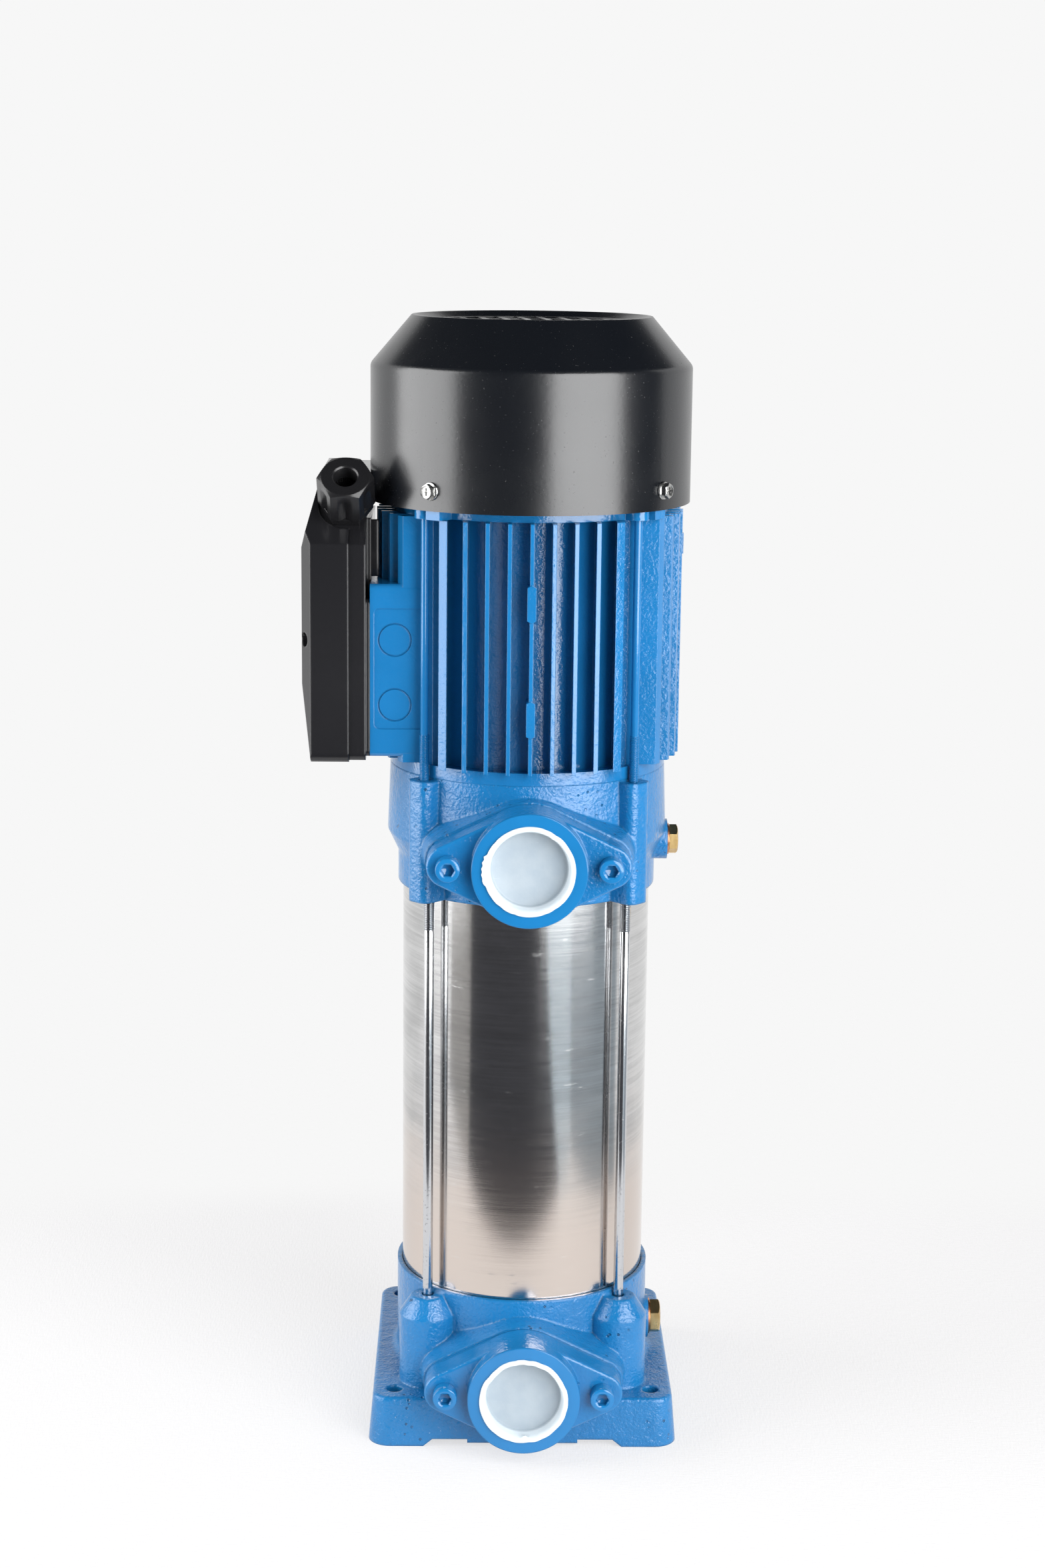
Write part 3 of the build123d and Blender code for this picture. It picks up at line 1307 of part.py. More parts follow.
# The box itself: a shallow tray on the pedestal, with bosses for the lid's
# screws and a half-round tab that carries the gland.
with BuildPart() as terminal_box:
    with BuildSketch(side_plane(tray_reach, box_middle)):
        add(box_outline(0))
    extrude(amount=box_depth)
    with BuildSketch(side_plane(tray_reach + box_wall, box_middle)):
        add(box_outline(-box_wall))
    extrude(amount=box_depth - box_wall, mode=Mode.SUBTRACT)
    with BuildSketch(side_plane(tray_reach, box_middle)):
        with Locations(*lid_screw_spots):
            Circle(lid_boss_radius)
    extrude(amount=box_depth)
    with BuildSketch(side_plane(pedestal_reach, pedestal_middle - box_stand_drop / 2)):
        RectangleRounded(pedestal_width, pedestal_height - box_stand_drop, pedestal_round)
    extrude(amount=box_stand)
    with BuildSketch(side_plane(pedestal_reach, (pedestal_middle + box_spine_top) / 2)):
        Rectangle(box_spine_width, box_spine_top - pedestal_middle)
    extrude(amount=box_stand)
    with BuildSketch(gland_plane):
        add(gland_tab(0))
    extrude(amount=-box_wall)
    with BuildSketch(gland_plane):
        Circle(gland_stem_od / 2 + seat_gap)
    extrude(amount=-2 * box_wall, mode=Mode.SUBTRACT)
    with BuildSketch(side_plane(box_reach, box_middle)):
        with Locations(*lid_screw_spots):
            Circle(lid_screw_od / 2 + seat_gap)
    extrude(amount=-(box_depth - box_wall), mode=Mode.SUBTRACT)
    with BuildSketch(side_plane(pedestal_reach, pedestal_middle)):
        RectangleRounded(wire_opening, wire_opening / 2, pedestal_round)
    extrude(amount=box_stand + box_wall, mode=Mode.SUBTRACT)
terminal_box.part.label = "terminal_box"
export_step(terminal_box.part, "parts/terminal_box.step")

# Lid: a deep moulded shell with a raised panel that slopes away on all sides.
panel_side_slope = 2 * lid_panel_rise
lid_bottom = box_bottom - lid_margin
lid_top = lid_bottom + box_height + 2 * lid_margin
lid_half = box_width / 2 + lid_margin
beyond = panel_reach + lid_panel_rise
cavity_bottom = box_bottom + lid_screw_inset + lid_boss_radius + lid_margin
cavity_top = box_bottom + lid_panel_top
cavity_width = box_width - 2 * (lid_screw_inset + lid_boss_radius + lid_margin)
with BuildPart() as terminal_lid:
    with BuildSketch(side_plane(box_reach, box_middle)):
        add(box_outline(lid_margin))
    extrude(amount=lid_depth + lid_panel_rise)
    with BuildSketch(Plane.XZ.offset(-lid_half)):
        with BuildLine():
            Polyline(
                (-lid_reach, lid_bottom),
                (-panel_reach, box_bottom + lid_panel_bottom),
                (-beyond, box_bottom + lid_panel_bottom),
                (-beyond, lid_bottom),
                close=True,
            )
        make_face()
        with BuildLine():
            Polyline(
                (-lid_reach + lid_top_fall, lid_top),
                (-panel_reach, box_bottom + lid_panel_top),
                (-beyond, box_bottom + lid_panel_top),
                (-beyond, lid_top),
                close=True,
            )
        make_face()
    extrude(amount=2 * lid_half, mode=Mode.SUBTRACT)
    with BuildSketch(Plane.XY.offset(lid_bottom)):
        for side in (-1, 1):
            with BuildLine():
                Polyline(
                    (-lid_reach, side * lid_half),
                    (-panel_reach, side * (lid_half - panel_side_slope)),
                    (-beyond, side * (lid_half - panel_side_slope)),
                    (-beyond, side * lid_half),
                    close=True,
                )
            make_face()
    extrude(amount=lid_top - lid_bottom, mode=Mode.SUBTRACT)
    with BuildSketch(side_plane(box_reach, box_middle)):
        add(box_outline(lid_margin - lid_wall))
        with Locations(*lid_screw_spots):
            Circle(lid_boss_radius, mode=Mode.SUBTRACT)
    extrude(amount=lid_depth - lid_top_fall - lid_wall, mode=Mode.SUBTRACT)
    with BuildSketch(side_plane(box_reach, (cavity_bottom + cavity_top) / 2)):
        Rectangle(cavity_width, cavity_top - cavity_bottom)
    extrude(amount=lid_depth + lid_panel_rise - 2 * lid_wall, mode=Mode.SUBTRACT)
    with BuildSketch(side_plane(box_reach, box_middle)):
        with Locations(*lid_screw_spots):
            Circle(lid_screw_od / 2 + slip_gap)
    extrude(amount=lid_depth, mode=Mode.SUBTRACT)
    with BuildSketch(side_plane(lid_reach - lid_screw_recess, box_middle)):
        with Locations(*lid_screw_spots):
            Circle(lid_screw_head_od / 2 + slip_gap)
    extrude(amount=lid_screw_recess + 2 * lid_panel_rise, mode=Mode.SUBTRACT)
    with BuildSketch(gland_plane.offset(-lid_wall)):
        add(gland_tab(slip_gap))
    extrude(amount=2 * lid_wall, mode=Mode.SUBTRACT)
    with BuildSketch(gland_plane):
        Circle(gland_stem_od / 2 + slip_gap)
    extrude(amount=-(gland_stem_length + slip_gap), mode=Mode.SUBTRACT)
terminal_lid.part.label = "terminal_lid"
export_step(terminal_lid.part, "parts/terminal_lid.step")

# Four pan-head screws that hold the lid.
with BuildPart() as lid_screws:
    with BuildSketch(side_plane(tray_reach + box_wall, box_middle)):
        with Locations(*lid_screw_spots):
            Circle(lid_screw_od / 2)
    extrude(amount=lid_reach - lid_screw_recess - tray_reach - box_wall)
    with BuildSketch(side_plane(lid_reach - lid_screw_recess, box_middle)):
        with Locations(*lid_screw_spots):
            Circle(lid_screw_head_od / 2)
    extrude(amount=lid_screw_head_height)
lid_screws.part.label = "lid_screws"
export_step(lid_screws.part, "parts/lid_screws.step")

# Terminal block with its row of brass studs, on the tray's back wall.
terminal_block_middle = gland_z - terminal_block_drop
with BuildPart() as terminal_block:
    with BuildSketch(side_plane(tray_reach + box_wall, terminal_block_middle)):
        RectangleRounded(terminal_block_length, terminal_block_width, pedestal_round)
    extrude(amount=terminal_block_height)
    with BuildSketch(side_plane(tray_reach + box_wall + terminal_block_height, terminal_block_middle)):
        with GridLocations(terminal_stud_pitch, terminal_stud_pitch, 3, 2):
            Circle(terminal_stud_radius)
    extrude(amount=terminal_stud_height)
terminal_block.part.label = "terminal_block"
export_step(terminal_block.part, "parts/terminal_block.step")

# Run capacitor of the single-phase motor, lying across the tray.
capacitor_reach = tray_reach + box_wall + capacitor_radius
capacitor_height = box_bottom + 2 * lid_boss_radius + 2 * box_wall + capacitor_radius
with BuildPart() as run_capacitor:
    with BuildSketch(Plane.XZ.offset(-capacitor_length / 2)):
        with Locations((-capacitor_reach, capacitor_height)):
            Circle(capacitor_radius)
    extrude(amount=capacitor_length)
    fillet(run_capacitor.edges().filter_by(GeomType.CIRCLE), capacitor_round)
run_capacitor.part.label = "run_capacitor"
export_step(run_capacitor.part, "parts/run_capacitor.step")

# Cable gland: body through the tab, rubber seal, and a dome nut over both.
seal_bottom = gland_collar_thickness + gland_neck_length
gland_nut_bottom = gland_collar_thickness + slip_gap
gland_nut_top = gland_nut_bottom + gland_nut_length
neck_radius = gland_thread_od / 2 - gland_neck_step
with BuildPart() as gland_body:
    with BuildSketch(gland_plane.offset(-gland_stem_length)):
        Circle(gland_stem_od / 2)
    extrude(amount=gland_stem_length)
    with BuildSketch(gland_plane):
        RegularPolygon(gland_collar_hex / 2, 6, major_radius=False)
    extrude(amount=gland_collar_thickness)
    with BuildSketch(gland_plane):
        Circle(neck_radius)
    extrude(amount=seal_bottom)
    with BuildSketch(gland_plane.offset(-gland_stem_length)):
        Circle(gland_nut_bore / 2)
    extrude(amount=gland_stem_length + seal_bottom, mode=Mode.SUBTRACT)
gland_body.part.label = "gland_body"
export_step(gland_body.part, "parts/gland_body.step")

with BuildPart() as gland_seal:
    with BuildSketch(gland_plane.offset(seal_bottom)):
        Circle(neck_radius)
        Circle(gland_nut_bore / 2, mode=Mode.SUBTRACT)
    extrude(amount=gland_nut_top - gland_nut_wall - seal_bottom - slip_gap)
gland_seal.part.label = "gland_seal"
export_step(gland_seal.part, "parts/gland_seal.step")

nut_radius = gland_nut_across_corners / 2
with BuildPart() as gland_nut:
    with BuildSketch(gland_plane.offset(gland_nut_bottom)):
        RegularPolygon(nut_radius, 6)
    extrude(amount=gland_nut_length)
    with BuildSketch(Plane.XZ):
        with BuildLine():
            Polyline(
                (0, gland_nut_bottom),
                (nut_radius, gland_nut_bottom),
                (nut_radius, gland_nut_top - gland_nut_dome),
                (nut_radius - gland_nut_dome, gland_nut_top),
                (0, gland_nut_top),
                close=True,
            )
        make_face()
    dome = revolve(axis=Axis.Z, mode=Mode.PRIVATE)
    add(gland_plane.location * dome, mode=Mode.INTERSECT)
    with BuildSketch(gland_plane.offset(gland_nut_bottom)):
        Circle(neck_radius + slip_gap)
    extrude(amount=gland_nut_length - gland_nut_wall, mode=Mode.SUBTRACT)
    with BuildSketch(gland_plane.offset(gland_nut_bottom)):
        Circle(gland_nut_bore / 2)
    extrude(amount=gland_nut_length, mode=Mode.SUBTRACT)
gland_nut.part.label = "gland_nut"
export_step(gland_nut.part, "parts/gland_nut.step")
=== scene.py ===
import math

import bmesh
import bpy
from mathutils import Matrix, Vector, noise


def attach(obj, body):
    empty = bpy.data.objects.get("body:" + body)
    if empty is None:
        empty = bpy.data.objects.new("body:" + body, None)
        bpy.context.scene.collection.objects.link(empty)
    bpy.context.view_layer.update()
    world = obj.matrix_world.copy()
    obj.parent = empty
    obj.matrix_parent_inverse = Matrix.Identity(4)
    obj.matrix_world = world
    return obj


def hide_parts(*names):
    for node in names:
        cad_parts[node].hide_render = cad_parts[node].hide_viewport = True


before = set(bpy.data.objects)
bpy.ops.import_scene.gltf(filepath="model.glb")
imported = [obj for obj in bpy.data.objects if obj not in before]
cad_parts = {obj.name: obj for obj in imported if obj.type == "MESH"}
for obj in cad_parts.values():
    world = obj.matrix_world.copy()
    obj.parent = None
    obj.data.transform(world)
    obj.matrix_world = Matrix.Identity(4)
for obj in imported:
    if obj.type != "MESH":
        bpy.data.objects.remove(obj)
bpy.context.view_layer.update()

# ---------------------------------------------------------------------------
# Painted castings: base, head, counter-flanges, motor housing and its end
# shield are rough iron and aluminium castings under one thick coat of glossy
# blue enamel. The paint shows the sand's grain; the turned port faces are smooth.
port_face, cast_skin = -0.1078, -0.1068  # along Y in metres
enamel_blue = (0.0075, 0.128, 0.320, 1)
enamel_light = (0.0095, 0.144, 0.358, 1)
# Painted shade: the dark blue inside the pits.
pit_shade_blue = (0.003, 0.022, 0.07, 1)


class Shade:
    """A socket in a material's node tree that Python's operators work on."""

    def __init__(self, tree, socket=None):
        self.tree = tree
        self.socket = socket

    def node(self, kind, settings=None, inputs=None, output=0):
        """Adds any node: first its settings, then its sockets' values or links."""
        added = self.tree.nodes.new(kind)
        for name, value in (settings or {}).items():
            setattr(added, name, value)
        for name, value in (inputs or {}).items():
            if isinstance(value, Shade):
                self.tree.links.new(value.socket, added.inputs[name])
            else:
                added.inputs[name].default_value = value
        return Shade(self.tree, added.outputs[output] if len(added.outputs) else None)

    def maths(self, operation, first, second=0.0):
        return self.node("ShaderNodeMath", {"operation": operation}, {0: first, 1: second})

    def __add__(self, other):
        return self.maths("ADD", self, other)

    __radd__ = __add__

    def __sub__(self, other):
        return self.maths("SUBTRACT", self, other)

    def __rsub__(self, other):
        return self.maths("SUBTRACT", other, self)

    def __mul__(self, other):
        return self.maths("MULTIPLY", self, other)

    __rmul__ = __mul__

    def ramp(self, low, high):
        """Smoothly 0 below low and 1 above high."""
        return self.node(
            "ShaderNodeMapRange", {"interpolation_type": "SMOOTHSTEP"}, {0: self, 1: low, 2: high}
        )

    def mix(self, first, second):
        """A colour between two, with this socket as the factor."""
        factor, colour_a, colour_b, colour_out = 0, 6, 7, 2
        inputs = {factor: self, colour_a: first, colour_b: second}
        return self.node("ShaderNodeMix", {"data_type": "RGBA"}, inputs, colour_out)


def finish(name):
    """A new material, its empty node tree and the object coordinates in it."""
    material = bpy.data.materials.new(name)
    material.use_nodes = True
    material.node_tree.nodes.clear()
    shade = Shade(material.node_tree)
    return material, shade, shade.node("ShaderNodeTexCoord", output="Object")


def along(shade, place, axis):
    """How far along X, Y or Z a point lies, in metres."""
    return shade.node("ShaderNodeSeparateXYZ", {}, {"Vector": place}, axis)


def grain(shade, place, scale, detail=2.0, roughness=0.5, stretch=(1, 1, 1)):
    """Soft noise, with its spots stretched along the axes."""
    scaled = shade.node("ShaderNodeMapping", {}, {"Vector": place, "Scale": stretch})
    inputs = {"Vector": scaled, "Scale": scale, "Detail": detail, "Roughness": roughness}
    return shade.node("ShaderNodeTexNoise", {}, inputs)


def soft_edges(shade, radius):
    """A normal that rounds sharp edges by a radius in metres."""
    return shade.node("ShaderNodeBevel", {"samples": 6}, {"Radius": radius})


def raised(shade, height, depth, over=None):
    """A bump whose highest points stand a depth in metres above its lowest."""
    inputs = {"Height": height, "Distance": depth, "Strength": 1.0}
    if over is not None:
        inputs["Normal"] = over
    return shade.node("ShaderNodeBump", {}, inputs)


def surface(shade, **inputs):
    """The principled shader on the material's output."""
    named = {name.replace("_", " "): value for name, value in inputs.items()}
    body = shade.node("ShaderNodeBsdfPrincipled", {}, named)
    shade.node("ShaderNodeOutputMaterial", {}, {"Surface": body})


def enamel(name, peel, peel_size, pits, blend=0.0011):
    """Blue enamel: its orange peel has a depth and a spot size in metres, pits run from 0
    to 1 as dents darkened with painted shade, and blend is the radius at which the paint fills an edge."""
    material, shade, place = finish(name)
    as_cast = along(shade, place, "Y").ramp(port_face, cast_skin)
    fine = grain(shade, place, 1 / peel_size, 3.0, 0.55)
    coarse = grain(shade, place, 0.3 / peel_size, 2.0)
    holes = shade.node("ShaderNodeTexVoronoi", {}, {"Vector": place, "Scale": 210.0})
    crowd = grain(shade, place, 42.0, 3.0).ramp(0.52, 0.62)
    # Pits: dents in the bump, whose dark blue is painted shade.
    pit_dents_and_shade = holes.ramp(0.20, 0.10) * crowd * as_cast * pits
    broad = grain(shade, place, 22.0, 3.0)
    skin = (fine * 0.65 + coarse * 0.8) * as_cast - pit_dents_and_shade * 1.2
    colour = broad.ramp(0.3, 0.7).mix(enamel_blue, enamel_light)
    surface(
        shade,
        Base_Color=(pit_dents_and_shade * 0.8).mix(colour, pit_shade_blue),
        Roughness=grain(shade, place, 60.0, 3.0) * 0.07 + 0.07,
        IOR=1.56,
        Normal=raised(shade, skin, peel, soft_edges(shade, blend)),
    )
    return material


def dress(material, *names):
    """Gives CAD nodes a material on every slot."""
    for name in names:
        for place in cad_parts[name].material_slots:
            place.material = material


rough_enamel = enamel("rough_enamel", 0.0007, 0.0016, 0.8, 0.0022)
dress(rough_enamel, "head_casting", "base_casting")
flange_enamel = enamel("flange_enamel", 0.0004, 0.0018, 0.3)
dress(flange_enamel, "suction_flange", "discharge_flange", "flange_gaskets")
motor_enamel = enamel("motor_enamel", 0.00022, 0.0015, 0.0, 0.0004)
dress(motor_enamel, "motor_housing", "fan_end_shield")

# ---------------------------------------------------------------------------
# Outer sleeve: a tube of rolled stainless sheet, polished round and round, with
# a painted warm reflection of the floor towards its foot, fine turning lines and handling marks.
# Heights in metres where the painted reflection of the floor fades out and where it is full.
reflection_gone, reflection_full = 0.25, 0.15  # heights in metres
rubbed_steel = (0.72, 0.71, 0.69, 1)


def darker(colour, share):
    """A share of a colour."""
    return tuple(part * share for part in colour[:3]) + (1,)


def worn_steel(name, colour, reflected_floor, shine, smear=0.0):
    """Polished steel with lines that run round the pump's axis, and a painted reflection of the floor low
    down.
    """
    material, shade, place = finish(name)
    lines = grain(shade, place, 1.0, 5.0, 0.6, (14, 14, 2600))
    bands = grain(shade, place, 1.0, 3.0, 0.6, (9, 9, 420))
    clouds = grain(shade, place, 1.0, 5.0, 0.6, (16, 16, 34))
    rubs = grain(shade, place, 1.0, 6.0, 0.65, (60, 60, 240)).ramp(0.60, 0.74)
    # Painted reflection: towards the foot the steel turns to the warm colour of the floor.
    floor_reflection = (along(shade, place, "Z") + clouds * 0.09).ramp(reflection_gone, reflection_full)
    streaks = (clouds * 0.45 + bands * 0.35 + lines * 0.2).ramp(0.36, 0.64)
    clean = streaks.mix(colour, darker(colour, 0.70))
    surface(
        shade,
        Base_Color=(rubs * 0.25).mix(floor_reflection.mix(clean, reflected_floor), rubbed_steel),
        Metallic=1.0,
        Roughness=lines * 0.10 + bands * 0.10 + rubs * 0.12 + shine,
        Anisotropic=smear,
        Anisotropic_Rotation=0.25,
        Normal=raised(shade, lines * 0.5 + bands * 0.5, 0.000016),
    )
    return material


# The second colour is the painted reflection of the floor at the sleeve's foot.
sleeve_steel = worn_steel("rolled_steel", (0.68, 0.68, 0.68, 1), (0.70, 0.62, 0.565, 1), 0.04, 0.3)
dress(sleeve_steel, "outer_sleeve")

# ---------------------------------------------------------------------------
# Inner pieces: pressed steel stages, laminated cores, copper windings, the seal
# and the bearings. They are out of sight until the pump is opened.
stages = 5
pressed = worn_steel("pressed_steel", (0.60, 0.60, 0.60, 1), (0.58, 0.57, 0.56, 1), 0.22)
dress(pressed, "inlet_disc", "discharge_disc", "impeller_spacers", "impeller_nut")
dress(pressed, "motor_shaft", "seal_spring")
for stage in range(1, stages + 1):
    dress(pressed, f"stage_casing_{stage}", f"diffuser_{stage}", f"impeller_{stage}")
for bearing in ("lower_bearing", "upper_bearing"):
    dress(pressed, f"{bearing}_outer_race", f"{bearing}_inner_race")


def stacked(name, dark, light):
    """Thin sheets stacked along the axis, each edge a little lighter or darker."""
    material, shade, place = finish(name)
    sheets = grain(shade, place, 1.0, 2.0, 0.5, (5, 5, 2000))
    surface(
        shade,
        Base_Color=sheets.mix(dark, light),
        Metallic=0.8,
        Roughness=sheets * 0.2 + 0.40,
        Normal=raised(shade, sheets, 0.00005),
    )
    return material


core_steel = stacked("laminated_core", (0.10, 0.10, 0.11, 1), (0.22, 0.22, 0.24, 1))
dress(core_steel, "rotor_core", "stator_core")
dress(stacked("wound_copper", (0.35, 0.12, 0.04, 1), (0.62, 0.26, 0.09, 1)), "stator_windings")


def moulded(name, colour, size, depth, rough, blend=0.0004):
    """Moulded plastic, rubber or carbon: its fine even grain has a spot size and a depth in
    metres."""
    material, shade, place = finish(name)
    skin = grain(shade, place, 1 / size, 4.0, 0.6)
    patches = grain(shade, place, 45.0, 3.0)
    surface(
        shade,
        Base_Color=patches.mix(colour, darker(colour, 0.88)),
        Roughness=patches * 0.08 + rough,
        Normal=raised(shade, skin, depth, soft_edges(shade, blend)),
    )
    return material


rubber = moulded("black_rubber", (0.012, 0.012, 0.012, 1), 0.0008, 0.00003, 0.62)
dress(rubber, "sleeve_gaskets", "gland_seal")
dress(moulded("carbon", (0.02, 0.02, 0.022, 1), 0.0004, 0.00001, 0.35), "seal_ring", "guide_bush")
dress(moulded("ceramic", (0.80, 0.78, 0.72, 1), 0.0006, 0.000004, 0.12), "seal_seat")
dress(moulded("fan_plastic", (0.035, 0.035, 0.038, 1), 0.0007, 0.00003, 0.42), "cooling_fan")
dress(moulded("block_plastic", (0.07, 0.045, 0.03, 1), 0.0006, 0.00002, 0.40), "terminal_block")
dress(moulded("capacitor_plastic", (0.55, 0.56, 0.57, 1), 0.0009, 0.00001, 0.30), "run_capacitor")

# ---------------------------------------------------------------------------
# Tie rods: four cold-drawn steel rods, bright plated, with a rolled thread at
# each end. They clamp the sleeve between base and head, with nuts under the foot.
# From here on shapes are drawn in millimetres; made() turns them into metres.
rod_circle = 74.0
rod_crest, rod_root, rod_pitch = 3.0, 2.45, 1.0
rod_foot, foot_thread_end = 9.0, 66.3
head_thread_start, rod_top = 282.7, 319.7
rod_shank = ((0, 66.0), (2.4, 66.0), (2.68, 67.2), (2.68, 281.6), (2.4, 282.9), (0, 282.9))
millimetre = 0.001
same_point = 0.001
sharp_edge = 32


def plated(name, colour, rough):
    """Bright plated steel with faint drawing marks and dull specks."""
    material, shade, place = finish(name)
    marks = grain(shade, place, 1.0, 4.0, 0.6, (900, 900, 30))
    spots = grain(shade, place, 700.0, 3.0).ramp(0.58, 0.72)
    surface(
        shade,
        Base_Color=spots.mix(colour, darker(colour, 0.72)),
        Metallic=1.0,
        Roughness=marks * 0.10 + spots * 0.15 + rough,
        Normal=raised(shade, marks, 0.000008),
    )
    return material


def shown(name, mesh, material):
    """The drawn shape as an object of one material."""
    data = bpy.data.meshes.new(name)
    mesh.to_mesh(data)
    mesh.free()
    data.materials.append(material)
    thing = bpy.data.objects.new(name, data)
    bpy.context.scene.collection.objects.link(thing)
    return thing


def made(name, mesh, material, body, slot, *replaced):
    """Makes the drawn shape an object that rides on a body."""
    bmesh.ops.scale(mesh, vec=(millimetre, millimetre, millimetre), verts=mesh.verts)
    bmesh.ops.recalc_face_normals(mesh, faces=mesh.faces)
    piece = shown(name, mesh, material)
    piece.data.shade_smooth()
    piece.data.set_sharp_from_angle(angle=math.radians(sharp_edge))
    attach(piece, body)
    if replaced:
        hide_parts(*replaced)


def turned(mesh, outline, steps=48):
    """Spins an outline of (radius, height) points round Z and closes its poles."""
    row = [mesh.verts.new((radius, 0, height)) for radius, height in outline]
    edges = [mesh.edges.new(pair) for pair in zip(row, row[1:])]
    before = set(mesh.verts) - set(row)
    bmesh.ops.spin(
        mesh,
        geom=row + edges,
        cent=(0, 0, 0),
        axis=(0, 0, 1),
        angle=math.tau,
        steps=steps,
        use_merge=True,
    )
    new = [vert for vert in mesh.verts if vert not in before]
    bmesh.ops.remove_doubles(mesh, verts=new, dist=same_point)


def threaded(mesh, crest, root, pitch, low, high, steps=20):
    """A rolled thread round Z: one tooth's outline spun up a helix, then cut off level."""
    tooth = ((root, 0.0), (crest, 0.36), (crest, 0.52), (root, 0.88), (root, 1.0))
    row = [mesh.verts.new((radius, 0, low - pitch + part * pitch)) for radius, part in tooth]
    edges = [mesh.edges.new(pair) for pair in zip(row, row[1:])]
    before = set(mesh.verts) - set(row)
    turns = math.ceil((high - low) / pitch) + 2
    bmesh.ops.spin(
        mesh,
        geom=row + edges,
        cent=(0, 0, 0),
        axis=(0, 0, 1),
        dvec=(0, 0, pitch / steps),
        angle=math.tau * turns,
        steps=steps * turns,
    )
    new = [vert for vert in mesh.verts if vert not in before]
    bmesh.ops.remove_doubles(mesh, verts=new, dist=same_point)
    for height, side in ((low, -1), (high, 1)):
        new = [vert for vert in mesh.verts if vert not in before]
        edges = {edge for vert in new for edge in vert.link_edges}
        faces = {face for vert in new for face in vert.link_faces}
        cut = bmesh.ops.bisect_plane(
            mesh,
            geom=[*new, *edges, *faces],
            plane_co=(0, 0, height),
            plane_no=(0, 0, side),
            clear_outer=True,
            dist=same_point,
        )
        rim = [item for item in cut["geom_cut"] if isinstance(item, bmesh.types.BMEdge)]
        bmesh.ops.edgeloop_fill(mesh, edges=rim)


def placed(shape, spots):
    """One mesh with a copy of a finished shape at each place."""
    part = bpy.data.meshes.new("shape")
    shape.to_mesh(part)
    shape.free()
    whole = bmesh.new()
    for spot in spots:
        start = len(whole.verts)
        whole.from_mesh(part)
        whole.verts.ensure_lookup_table()
        bmesh.ops.transform(whole, matrix=spot, verts=whole.verts[start:])
    bpy.data.meshes.remove(part)
    return whole


def quarters(radius, height=0.0, first=45.0):
    """Four places round the pump, a quarter turn apart."""
    return [
        Matrix.Rotation(math.radians(first + 90 * corner), 4, "Z")
        @ Matrix.Translation((radius, 0, height))
        for corner in range(4)
    ]


rod = bmesh.new()
turned(rod, rod_shank, 28)
threaded(rod, rod_crest, rod_root, rod_pitch, rod_foot, foot_thread_end)
threaded(rod, rod_crest, rod_root, rod_pitch, head_thread_start, rod_top)
rods = placed(rod, quarters(rod_circle))
chrome = plated("bright_plating", (0.63, 0.64, 0.66, 1), 0.10)
made("threaded_tie_rods", rods, chrome, "pump", "plated_steel", "tie_rods")
dress(chrome, "tie_rod_nuts")

# ---------------------------------------------------------------------------
# Port caps: milky polythene plugs pushed into the two threaded collars, each a
# shallow cup under a loose flat rim with ragged flash from the mould.
port_heights = {"suction": 38.5, "discharge": 328.4}
cup_wall, rim_foot, rim_edge = 20.3, 107.5, 22.5
rim_wobble, rim_settled = 0.35, 0.3
cup_outline = (
    (0, 100.5), (18.6, 100.5), (19.5, 100.8), (20.0, 101.8), (20.4, 106.4), (21.0, 108.9),
    (21.5, 109.5), (23.3, 109.6), (23.7, 109.2), (23.7, 108.4), (23.3, 108.0), (21.2, 108.0),
    (20.9, 107.0), (20.9, 99.4), (20.5, 99.0), (0, 99.0),
)
# Where the cup's floor takes its painted shade.
floor_shade_from, floor_shade_to = -0.1035, -0.1008  # along Y in metres
flash_from, flash_to = 158, 196  # degrees round the discharge cap
tab_from, tab_to = 268, 277  # degrees round the suction cap
face_front = Matrix.Rotation(math.radians(90), 4, "X")


def milky():
    """Whitish polythene: thick rims look white; the thin floor is darker, as painted shade for the dark
    inside that shows through it.
    """
    material, shade, place = finish("milky_plastic")
    clouds = grain(shade, place, 120.0, 3.0)
    floor_shade_mask = along(shade, place, "Y").ramp(floor_shade_from, floor_shade_to)
    rim = clouds.ramp(0.35, 0.7).mix((0.54, 0.60, 0.64, 1), (0.60, 0.655, 0.685, 1))
    # Painted shade: the floor's darker grey-blue.
    floor_shade_tone = clouds.ramp(0.3, 0.7).mix((0.290, 0.345, 0.395, 1), (0.320, 0.372, 0.415, 1))
    scratches = grain(shade, place, 1.0, 4.0, 0.6, (90, 90, 1400)).ramp(0.66, 0.76) * 0.3
    surface(
        shade,
        Base_Color=scratches.mix(floor_shade_mask.mix(rim, floor_shade_tone), (0.60, 0.66, 0.70, 1)),
        Roughness=clouds * 0.15 + 0.30,
        Subsurface_Weight=0.12,
        Subsurface_Radius=(0.002, 0.002, 0.002),
        Normal=raised(shade, grain(shade, place, 500.0, 3.0), 0.00005),
    )
    return material


